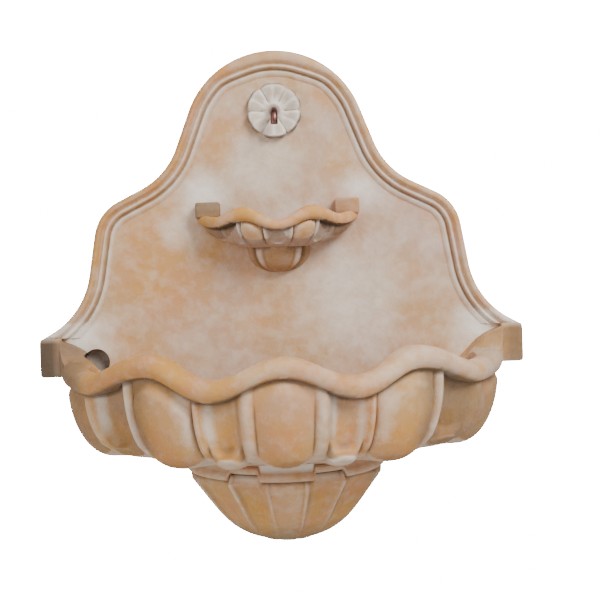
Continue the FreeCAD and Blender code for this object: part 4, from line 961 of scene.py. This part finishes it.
cup_rings = []
for sweep in quarter_turn(15):
    def pendant_level(degrees, sweep=sweep):
        return CUP_BOTTOM + (CUP_LOW.z - CUP_BOTTOM) * math.cos(sweep) ** 0.9

    def pendant_side(degrees, plan, sweep=sweep):
        return (0.05 + 0.33 * math.sin(sweep)) * plan + pendant_swell(degrees) * math.sin(sweep)

    cup_rings.append(round_front(cup_size, cup_columns, pendant_level, pendant_side))
for sweep in quarter_turn(22):
    rise = 1 - math.cos(sweep)

    def cup_level(degrees, rise=rise):
        foot = cup_foot(degrees)
        return foot + rise * (ease(CUP_RIM, degrees) - ease(CUP_ROLL, degrees) + 0.001 - foot)

    def cup_side(degrees, plan, rise=rise, sweep=sweep):
        return (0.42 + 0.49 * math.sin(sweep)) * (plan + 1.25 * swell_at(CUP_FORMS, degrees, 1 - rise))

    cup_rings.append(round_front(cup_size, cup_columns, cup_level, cup_side))
for turn in ROLL_TURNS:
    cup_rings.append(roll_ring(cup_size, cup_columns, CUP_RIM, CUP_ROLL, CUP_PROUD, CUP_ROLL_WIDTH, turn))
for sweep in quarter_turn(8):
    def cup_inside_level(degrees, sweep=sweep):
        return CUP_FLOOR + (ease(CUP_RIM, degrees) - 0.010 - CUP_FLOOR) * (1 - math.sin(sweep))

    def cup_inside_face(degrees, plan, sweep=sweep):
        return plan * (0.45 + 0.38 * math.cos(sweep))

    cup_rings.append(round_front(cup_size, cup_columns, cup_inside_level, cup_inside_face))
cup = bowl_of("stone_cup", cup_rings)
cup_parts = [block(-CUP_WALL_SHARE * CUP_HALF, CUP_WALL_SHARE * CUP_HALF, FIELD_Y - CUP_WALL_THICK, FIELD_Y,
                   CUP_WALL_LOW, CUP_WALL_HIGH)]
for side in (-1, 1):
    inner, outer = sorted((side * (CUP_HIGH.x - CUP_EAR_WIDTH), side * CUP_HIGH.x))
    ear = block(inner, outer, FIELD_Y - CUP_EAR_DEPTH, FIELD_Y, CUP_TOP - CUP_EAR_HEIGHT, CUP_TOP)
    round_off = ear.modifiers.new("rounding", "BEVEL")
    round_off.width = CUP_EAR_ROUNDING
    round_off.segments = 3
    cup_parts.append(ear)
shape_with(cup, cup_parts, "UNION")
soften(cup, 42)


def pendant_stain_and_shading(point, degrees):
    """Brown on the pendant, darkest in its valleys, with a painted highlight streaking down each outer lobe.
    """
    valley = math.exp(-((degrees - 60.0) / 9.0) ** 2)
    top = fade(point.z, CUP_BOTTOM - 0.005, CUP_BOTTOM)
    lobe = fade(degrees, 28.0, 42.0) * (1 - fade(degrees, 44.0, 58.0))
    # A painted highlight down each outer lobe.
    shine = lobe * fade(point.z, CUP_LOW.z + 0.004, CUP_LOW.z + 0.016)
    rib = fade(degrees, 24.0, 30.0) * (1 - fade(degrees, 30.0, 36.0))
    return (0.45 - 0.30 * shine, 0.50 * shine * (1 - top) + 0.30 * top * (1 - fade(degrees, 40.0, 60.0)),
            min(1.0, 0.36 + 0.40 * valley + 0.22 * rib) * (1 - 0.7 * shine))


def cup_stain_and_shading(point, nudge):
    """Orange on the rim and the bellies, white on the ribs, painted shade under the roll, darker on the
    pendant, and painted light and shade on the ears, the bellies and the flutes.
    """
    degrees, share = place_round(point, cup_size, nudge)
    below = ease(CUP_RIM, degrees) - point.z
    # On the ears, painted light and shade: the right ear lighter, the left darker.
    if (abs(point.x) > CUP_HIGH.x - CUP_EAR_WIDTH - 0.0002 and point.z > CUP_TOP - CUP_EAR_HEIGHT - 0.0002
            and point.y > FIELD_Y - CUP_EAR_DEPTH - 0.0005):
        return 0.25 + 0.45 * (point.x > 0), 0.0, 0.66 - 0.30 * (point.x > 0)
    if point.z < CUP_BOTTOM + 0.0004:
        return pendant_stain_and_shading(point, degrees)
    if share < 0.84 and below > 0.008:
        return 0.10, 0.20, 0.35
    roll = ease(CUP_ROLL, degrees)
    if below < roll - 0.002:
        # The roll's left end is darker with painted shade.
        return 1.0, 0.06, 0.30 * fade(abs(point.x), 0.070, 0.092) * (point.x < 0)
    number, across, swell = form_at(CUP_FORMS, degrees)
    # Painted shade under the roll.
    shade_under = 1 - fade(below, roll, roll + 0.004)
    near = 1 - abs(2 * across - 1)
    foot = 1 - fade(point.z, cup_foot(degrees), cup_foot(degrees) + 0.006)
    left_side = across if point.x < 0 else 1 - across
    # Painted light: each belly is paler on its left side.
    if number == CUP_BELLY:
        return 0.55 + 0.45 * near, 0.22 * fade(left_side, 0.65, 0.95) + 0.20, max(0.25 * shade_under, 0.25 * foot)
    if number == CUP_MIDDLE:
        # A painted highlight down the middle flute.
        shine = fade(point.x, 0.001, 0.006) * (1 - fade(point.x, 0.009, 0.014))
        return 0.45 * near, 0.15 + 0.6 * shine, max(0.7 * shade_under, 0.5 * foot)
    if number in CUP_RIBS:
        return 0.10, 0.65, max(0.7 * shade_under, 0.6 * foot)
    # A painted highlight on the outer flute; the outer forms are painted dark with shade.
    shine = 0.7 * fade(0.5 - abs(across - 0.30), 0.30, 0.45) * (number == CUP_FLUTE)
    return 0.20, shine - 0.08, max(shade_under, 0.58 - 0.4 * shine, 0.7 * foot)


stain_and_shading(cup, either_side(cup_stain_and_shading), hollow_grime_and_shade=0.7, ridge_wash_and_highlight=0.3, spread=3)
cup.data.materials.append(stone)
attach(cup, "fountain")
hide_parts("upper_cup")


# The corbel carries the basin: a half dome with flutes that run together at its foot, cast solid.
# The collar at its top steps forward and down in the middle and at both sides.
CORBEL_LOW, CORBEL_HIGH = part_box("corbel")
CORBEL_HALF = CORBEL_HIGH.x
CORBEL_REACH = FIELD_Y - CORBEL_LOW.y
CORBEL_SHOULDER = -0.312
CORBEL_BOTTOM = -0.408
CORBEL_SLOPE = math.radians(53.7)
COLLAR_BLOCKS = ((0, 1.0), (14.5, 1.0), (16.5, 0.0), (33, 0.0), (35, 1.0), (90, 1.0))
BLOCK_DROP = 0.0085
BLOCK_PROUD = 0.0045
# The collar's section: (distance below the basin's bottom, share of the corbel's width).
COLLAR_SECTION = (
    (0.0, 0.88), (0.0012, 0.885), (0.0020, 0.955), (0.0032, 0.974), (0.0050, 0.976), (0.0062, 0.964),
    (0.0074, 0.970), (0.0088, 0.995), (0.0106, 1.0), (0.0132, 1.0), (0.0150, 0.992), (0.0162, 0.978),
    (0.0168, 0.955))
COLLAR_FOOT = BASIN_BOTTOM - 0.0170
CORBEL_FORMS = ((9.6, 0.0011), (12.6, 0.0034), (31.0, -0.0070), (34.5, 0.0034), (62.0, -0.0070),
                (66.5, 0.0034), (95.0, 0.0012))
corbel_size = (CORBEL_HALF, CORBEL_REACH)
corbel_columns = columns(CORBEL_FORMS, 0.75)


def corbel_share(drop):
    """The corbel's half width as a share of its width at the shoulder, at a share of the way to its foot."""
    foot_radius = PANEL_FOOT_X / math.tan(CORBEL_SLOPE / 2)
    arc_height = foot_radius * (1 - math.cos(CORBEL_SLOPE))
    arc_half = foot_radius * math.sin(CORBEL_SLOPE)
    rise = (CORBEL_SHOULDER - CORBEL_BOTTOM) * (1 - drop)
    if rise < arc_height:
        return math.sqrt(foot_radius ** 2 - (foot_radius - rise) ** 2) / CORBEL_HALF
    share = (rise - arc_height) / (CORBEL_SHOULDER - CORBEL_BOTTOM - arc_height)
    return (arc_half + (CORBEL_HALF - arc_half) * share) / CORBEL_HALF


def reed_at(degrees, drop):
    """How far the corbel's surface stands out between and on its ribs."""
    number, across, swell = form_at(CORBEL_FORMS, degrees)
    if swell > 0:
        return swell * math.sin(math.pi * across)
    return swell * (1 - abs(2 * across - 1) ** 2.2) * fade(drop, 0.0, 0.10)


corbel_rings = []
for drop, share in COLLAR_SECTION:
    def collar_level(degrees, drop=drop):
        return BASIN_BOTTOM - drop - BLOCK_DROP * ease(COLLAR_BLOCKS, degrees) * fade(drop, 0.0045, 0.0085)

    def collar_side(degrees, plan, share=share):
        return plan * share - BLOCK_PROUD * (1 - ease(COLLAR_BLOCKS, degrees))

    corbel_rings.append(round_front(corbel_size, corbel_columns, collar_level, collar_side))
for sweep in quarter_turn(30):
    drop = 0.985 * math.sin(sweep)

    def corbel_level(degrees, drop=drop):
        start = COLLAR_FOOT - BLOCK_DROP * ease(COLLAR_BLOCKS, degrees)
        return start + (CORBEL_BOTTOM + 0.001 - start) * drop

    def corbel_side(degrees, plan, drop=drop):
        place = (CORBEL_SHOULDER - corbel_level(degrees, drop)) / (CORBEL_SHOULDER - CORBEL_BOTTOM)
        share = corbel_share(max(0.0, place)) * (0.955 + 0.045 * fade(drop, 0.0, 0.12))
        return share * (plan - 0.0015 + reed_at(degrees, drop))

    corbel_rings.append(round_front(corbel_size, corbel_columns, corbel_level, corbel_side))
corbel = bowl_of("stone_corbel", corbel_rings)
soften(corbel, 42)


def corbel_stain_and_shading(point, nudge):
    """Pinkish tan on the collar, orange in the middle of the flutes, cream on the ribs, brown at the foot;
    painted highlights on the collar's middle block, the ribs and just under the collar, and painted shade
    under the collar and down the flutes' left sides.
    """
    degrees, share = place_round(point, corbel_size, nudge)
    blocks = ease(COLLAR_BLOCKS, degrees)
    collar_foot = COLLAR_FOOT - BLOCK_DROP * blocks
    if point.z > collar_foot + 0.0010:
        # A painted highlight on the top of the collar's middle block.
        lip = fade(point.z, collar_foot + 0.0120, collar_foot + 0.0150) * (1 - fade(degrees, 14.0, 16.0))
        return 0.35 + 0.10 * blocks - 0.2 * lip, 0.20 + 0.56 * lip, 0.04
    below = collar_foot - point.z
    number, across, swell = form_at(CORBEL_FORMS, degrees)
    left_side = across if point.x < 0 else 1 - across
    near = 1 - abs(2 * across - 1)
    # Painted shade just under the collar.
    shade_under = 0.75 * (1 - fade(below, 0.0, 0.0035))
    foot = 1 - fade(point.z, CORBEL_BOTTOM - 0.004, CORBEL_BOTTOM + 0.060)
    outside = 0.30 * fade(degrees, 30.0, 75.0)
    if swell > 0.002:
        # A painted highlight along each rib's crest.
        crest = (1 - fade(abs(left_side - 0.35), 0.12, 0.40)) * (1 - foot)
        return 0.50, 0.52 * crest - 0.12, max(shade_under, 0.74 * foot, outside)
    if swell < 0:
        # A painted highlight just under the collar between its blocks, and painted shade down each flute's
        # left side.
        white = (1 - fade(below, 0.006, 0.016)) * (1 - blocks)
        outside = max(outside, 0.16)
        beside = 0.40 * fade(left_side, 0.72, 0.95) * fade(below, 0.004, 0.02)
        return (0.55 + 0.45 * near * fade(below, 0.006, 0.03), 0.55 * white - 0.20,
                max(shade_under, 0.76 * foot, beside, outside))
    return 0.45, 0.18 * (1 - foot) - 0.10, max(shade_under, 0.76 * foot, outside)


stain_and_shading(corbel, either_side(corbel_stain_and_shading), hollow_grime_and_shade=0.8, ridge_wash_and_highlight=0.25, spread=4)
corbel.data.materials.append(stone)
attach(corbel, "fountain")
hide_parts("corbel")


# The rosette is a small six-petalled flower, cast by itself.
# It is set on the panel with mortar, round the hole that the spout comes through.
ROSE_LOW, ROSE_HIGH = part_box("rosette")
ROSE_RADIUS = (ROSE_HIGH.z - ROSE_LOW.z) / 2
ROSE_CENTRE = Vector((0.0, FIELD_Y, (ROSE_HIGH.z + ROSE_LOW.z) / 2))
ROSE_PROUD = FIELD_Y - ROSE_LOW.y
ROSE_SIDES = 144
ROSE_HOLE = 0.0049
PETALS = 6
NOTCH_DEPTH = 0.0042
TIP_DEPTH = 0.0012
# The flower's outer edge: (share of its radius, share of its height). Its face runs inward from there.
ROSE_EDGE = ((0.97, 0.0), (0.995, 0.12), (1.0, 0.35))
FACE_STEP = 0.04
FACE_RINGS = 21


def petal_place(turn):
    """How far an angle lies from the middle of its petal: 0 in the middle, 1 at the valley beside it."""
    share = (PETALS * (turn / (2 * math.pi) - 0.25)) % 1.0
    return 2 * min(share, 1 - share)


def petal_height(share, turn):
    """The flower's height at a share of its radius: cupped petals that curl up at their ends."""
    off = petal_place(turn)
    cup_shape = 0.50 + 0.42 * fade(share, 0.35, 0.86) - 0.35 * fade(share, 0.93, 1.0)
    vein = 0.09 * math.exp(-(off / 0.16) ** 2) * fade(share, 0.30, 0.55)
    valley = 0.42 * off ** 5 * fade(share, 0.22, 0.45)
    heart = 0.30 * (1 - fade(share, 0.20, 0.34))
    return ROSE_PROUD * (cup_shape - vein - valley + heart)


def petal_edge(turn):
    """How far the outline is notched between the petals, and drawn in a little at each petal's tip."""
    off = petal_place(turn)
    return NOTCH_DEPTH * off ** 4 + TIP_DEPTH * math.exp(-(off / 0.18) ** 2)


rose_turns = [2 * math.pi * step / ROSE_SIDES for step in range(ROSE_SIDES)]
rose_rings = []
for share, level in ROSE_EDGE + tuple((1.0 - FACE_STEP * step, None) for step in range(1, FACE_RINGS + 1)):
    ring = []
    for turn in rose_turns:
        radius = share * (ROSE_RADIUS - petal_edge(turn) * fade(share, 0.3, 0.8))
        rise = petal_height(share, turn) if level is None else ROSE_PROUD * level
        ring.append(ROSE_CENTRE + Vector((radius * math.cos(turn), -rise, radius * math.sin(turn))))
    rose_rings.append(ring)
rosette = tube_of_rings("stone_rosette", rose_rings)
spout_hole = round_bar(Vector((0.0, FIELD_Y + CUT_PAST, TUBE_Z[0])), ROSE_HOLE, Vector((0.0, -0.05, 0.0)))
shape_with(rosette, [spout_hole], "DIFFERENCE")
soften(rosette, 45)


def rosette_stain(point):
    """Greyish tan petals with white veins and valleys, and a dark line round the edge and the heart."""
    away = point - ROSE_CENTRE
    share = math.hypot(away.x, away.z) / ROSE_RADIUS
    off = petal_place(math.atan2(away.z, away.x))
    edge_dark = fade(share, 0.88, 0.97)
    valley = off ** 6 * fade(share, 0.25, 0.5)
    heart = 1 - fade(share, 0.16, 0.30)
    cheek = fade(share, 0.42, 0.62) * (1 - fade(share, 0.80, 0.90)) * (1 - fade(abs(off - 0.45), 0.15, 0.40))
    return (0.10, 0.78 - 0.24 * cheek + 0.15 * valley,
            min(1.0, 0.80 * edge_dark + 0.16 * cheek + 0.6 * heart + 0.05))


stain_and_shading(rosette, rosette_stain, hollow_grime_and_shade=0.5, ridge_wash_and_highlight=0.5, spread=2)
rosette.data.materials.append(stone)
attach(rosette, "fountain")
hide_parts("rosette")


# One soft copper tube carries the water: out through the rosette, down behind the panel, and over to the
# pump. It is bent by hand in place, and has tarnished to a dark red brown.
TUBE_LOW, TUBE_HIGH = (corner.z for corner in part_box("copper_tube"))
TUBE_RADIUS = 0.00476
TUBE_WALL = 0.0008
TUBE_BACK_Y = -0.00646
SPOUT_Y = FIELD_Y - 0.034
SPOUT_DROP = 0.019
HOSE_Y = -0.087
TUBE_BEND = 0.014
DROP_BEND = 0.028
BEND_STEPS = 12
# The corners of its centre line, from the spout to the hose, each with the bend's radius.
TUBE_ROUTE = (
    (Vector((0.0, SPOUT_Y, TUBE_HIGH - TUBE_RADIUS - SPOUT_DROP)), 0.0),
    (Vector((0.0, SPOUT_Y, TUBE_Z[0])), TUBE_BEND), (Vector((0.0, TUBE_BACK_Y, TUBE_Z[0])), TUBE_BEND),
    (Vector((0.0, TUBE_BACK_Y, TUBE_Z[1])), TUBE_BEND), (Vector((0.0, HOSE_Y, TUBE_Z[1])), DROP_BEND),
    (Vector((0.0, HOSE_Y, TUBE_LOW)), 0.0))


def ring_round(centre, along, radius, sides=32):
    """A closed ring of points round an axis that lies in the plane x = 0."""
    across = Vector((1.0, 0.0, 0.0))
    other = along.cross(across)
    turns = [2 * math.pi * index / sides for index in range(sides)]
    return [centre + across * (radius * math.cos(turn)) + other * (radius * math.sin(turn)) for turn in turns]


def tube_line(route):
    """(place, heading) pairs along straight runs and round bends."""
    line = [(route[0][0], (route[1][0] - route[0][0]).normalized())]
    for before, here, after in zip(route, route[1:], route[2:]):
        arrive = (here[0] - before[0]).normalized()
        leave = (after[0] - here[0]).normalized()
        centre = here[0] + (leave - arrive) * here[1]
        for step in range(BEND_STEPS + 1):
            turn = math.radians(90 * step / BEND_STEPS)
            line.append((centre + (arrive * math.sin(turn) - leave * math.cos(turn)) * here[1],
                         arrive * math.cos(turn) + leave * math.sin(turn)))
    line.append((route[-1][0], (route[-1][0] - route[-2][0]).normalized()))
    return line


tube_path = tube_line(TUBE_ROUTE)
tube_rings = [ring_round(place, heading, TUBE_RADIUS) for place, heading in tube_path]
tube_rings += [ring_round(place, heading, TUBE_RADIUS - TUBE_WALL) for place, heading in reversed(tube_path)]
count = len(tube_rings[0])
tube_faces = []
for row in range(len(tube_rings)):
    start, after = row * count, (row + 1) % len(tube_rings) * count
    tube_faces += [(start + index, start + (index + 1) % count, after + (index + 1) % count, after + index)
                   for index in range(count)]
tube = add_piece("supply_tube", [point for ring in tube_rings for point in ring], tube_faces)
soften(tube, 40)
copper = finish("tarnished_copper", (0.24, 0.115, 0.095), (0.070, 0.034, 0.028), 0.36, metal=1.0, scale=130.0)
tube.data.materials.append(copper)
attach(tube, "fountain")
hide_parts("copper_tube")


# Two flat copper straps, let into the panel's back, hold the tube in its channel.
# They are cut from sheet, and each has two screws.
def dress(nodes, material):
    """Give a finish to pieces that keep their shape from the frame."""
    for node in nodes:
        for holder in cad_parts[node].material_slots:
            holder.material = material


strap_copper = finish("strap_copper", (0.50, 0.22, 0.13), (0.20, 0.08, 0.05), 0.38, metal=1.0, scale=90.0)
dress(["tube_straps"], strap_copper)


# On the wall side are two zinc-plated keyhole hangers, their screws, and the bolts that hold the castings.
# The bolts go into hexagonal brass inserts, which are set in the basin, the corbel and the cup.
zinc = finish("zinc_plate", (0.60, 0.61, 0.60), (0.36, 0.37, 0.38), 0.42, metal=1.0, scale=70.0)
dress(["hanger_plates", "panel_screws", "casting_bolts"], zinc)
dress(["casting_inserts"], finish("turned_brass", (0.62, 0.45, 0.20), (0.40, 0.27, 0.10), 0.36, metal=1.0))


# A rubber bush, pushed in from behind, fills the cord hole up to 13 mm behind the field. Its front is closed
# and scored across, to be cut open for a cord. The pump's feet and its cord gland are rubber too.
BUSH_LOW, BUSH_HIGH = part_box("cord_bush")
BUSH_FRONT = FIELD_Y + 0.0130
BUSH_BORE = 0.004
BUSH_SKIN = 0.0024
SCORE_HALF = 0.0040
SCORE_HALF_WIDTH = 0.0002
SCORE_DEPTH = 0.0014
bush_centre = (BUSH_LOW + BUSH_HIGH) / 2
bush_radius = (BUSH_HIGH.x - BUSH_LOW.x) / 2
# Its section from the back to the front: (share of its radius, place in depth).
BUSH_SECTION = (
    (0.97, BUSH_HIGH.y), (1.0, BUSH_HIGH.y - 0.0006), (1.0, BUSH_FRONT + 0.0012), (0.96, BUSH_FRONT + 0.0002),
    (0.90, BUSH_FRONT), (0.30, BUSH_FRONT + 0.0008))
bush = tube_of_rings("cord_grommet", [
    ring_round(Vector((bush_centre.x, y, bush_centre.z)), Vector((0.0, 1.0, 0.0)), share * bush_radius, 48)
    for share, y in BUSH_SECTION])
bush_bore = round_bar(Vector((bush_centre.x, BUSH_FRONT + BUSH_SKIN, bush_centre.z)), BUSH_BORE,
                      Vector((0.0, 0.04, 0.0)), 32)
score = block(bush_centre.x - SCORE_HALF, bush_centre.x + SCORE_HALF, BUSH_FRONT - 0.001,
              BUSH_FRONT + SCORE_DEPTH, bush_centre.z - SCORE_HALF_WIDTH, bush_centre.z + SCORE_HALF_WIDTH)
shape_with(bush, [bush_bore, score], "DIFFERENCE")
soften(bush, 35)
bush.data.materials.append(finish("dusty_rubber", (0.42, 0.36, 0.30), (0.30, 0.25, 0.20), 0.75))
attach(bush, "fountain")
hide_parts("cord_bush")
black_rubber = finish("black_rubber", (0.030, 0.029, 0.028), (0.014, 0.014, 0.014), 0.70)
dress(["suction_feet", "cord_gland"], black_rubber)


# The pump stands on the basin's floor on four suction feet. Its housing and slotted cover are black plastic,
# and the grey dial on the cover is turned to throttle the intake. Inside, a white plastic rotor with the
# impeller's blades spins on a fixed ceramic shaft.
black_plastic = finish("moulded_black", (0.035, 0.036, 0.038), (0.020, 0.020, 0.022), 0.45)
dress(["pump_body", "intake_cover"], black_plastic)
dress(["flow_dial"], finish("dial_grey", (0.16, 0.16, 0.165), (0.10, 0.10, 0.105), 0.42))
dress(["impeller"], finish("rotor_white", (0.70, 0.69, 0.64), (0.58, 0.57, 0.53), 0.35))
dress(["impeller_shaft"], finish("white_ceramic", (0.82, 0.80, 0.75), (0.74, 0.72, 0.68), 0.22))


# A short length of clear vinyl hose joins the pump's spigot to the copper tube.
# A stainless steel band clamp holds it.
dress(["outlet_hose"], finish("clear_vinyl", (0.75, 0.78, 0.74), (0.60, 0.64, 0.60), 0.22, clear=0.5))
stainless = finish("stainless_band", (0.66, 0.66, 0.65), (0.48, 0.48, 0.48), 0.28, metal=1.0, scale=160.0)
dress(["hose_clamp"], stainless)


# The camera stands straight in front, about 1.65 m away, and is rolled a little,
# so that the fountain's top leans to the left in the picture.
CAMERA_PLACE = Vector((0.0, -1.645, -0.040))
CAMERA_AIM = Vector((0.0257, -0.045, -0.0904))
CAMERA_ROLL = math.radians(-2.0)
camera_data = bpy.data.cameras.new("camera")
camera_data.sensor_width = 36.0
camera_data.lens = 72.7
camera = bpy.data.objects.new("camera", camera_data)
bpy.context.scene.collection.objects.link(camera)
bpy.context.scene.camera = camera
facing = (CAMERA_AIM - CAMERA_PLACE).to_track_quat("-Z", "Y").to_matrix().to_4x4()
camera.matrix_world = Matrix.Translation(CAMERA_PLACE) @ facing @ Matrix.Rotation(CAMERA_ROLL, 4, "Z")


# A broad soft light stands high in front and to the right, and a weaker one fills from the left.
# A white sky lights the rest evenly.
LIGHT_AIM = Vector((0.0, -0.1, -0.1))
SKY_STRENGTH = 0.68


def soft_light(name, place, size, power):
    """A square area light that faces the fountain."""
    data = bpy.data.lights.new(name, "AREA")
    data.size = size
    data.energy = power
    light = bpy.data.objects.new(name, data)
    bpy.context.scene.collection.objects.link(light)
    light.location = place
    light.rotation_euler = (LIGHT_AIM - light.location).to_track_quat("-Z", "Y").to_euler()


soft_light("main_light", Vector((1.2, -1.7, 1.5)), 1.0, 74.0)
soft_light("fill_light", Vector((-1.9, -1.7, 0.3)), 1.6, 16.0)
world = bpy.data.worlds.new("sky")
bpy.context.scene.world = world
world.use_nodes = True
world.node_tree.nodes["Background"].inputs["Color"].default_value = (*WHITE, 1.0)
world.node_tree.nodes["Background"].inputs["Strength"].default_value = SKY_STRENGTH


# A plain white backdrop stands far behind, bright by itself and lighting nothing,
# and a pale floor lies well below.
STAGE_HALF = 12.0
BACKDROP_Y = 2.5
BACKDROP_TOP = 9.0
FLOOR_FRONT = -8.0
FLOOR_BACK = 4.0
FLOOR_Z = -1.5
STAGE_THICK = 0.1


def even_finish(name, settings):
    """A material that is the same all over, from the shader's own settings."""
    material = bpy.data.materials.new(name)
    add, link, shader = nodes_of(material)
    for socket, value in settings.items():
        shader.inputs[socket].default_value = value
    return material


backdrop = block(-STAGE_HALF, STAGE_HALF, BACKDROP_Y, BACKDROP_Y + STAGE_THICK, FLOOR_Z, BACKDROP_TOP)
backdrop.name = "backdrop"
backdrop.data.materials.append(even_finish("backdrop_white", {
    "Base Color": (0.9, 0.9, 0.9, 1.0), "Emission Color": (*WHITE, 1.0), "Emission Strength": 40.0}))
backdrop.visible_diffuse = False
backdrop.visible_glossy = False
floor = block(-STAGE_HALF, STAGE_HALF, FLOOR_FRONT, FLOOR_BACK, FLOOR_Z - STAGE_THICK, FLOOR_Z)
floor.name = "floor"
floor.data.materials.append(even_finish("pale_floor", {
    "Base Color": (0.75, 0.74, 0.72, 1.0), "Roughness": 0.8}))
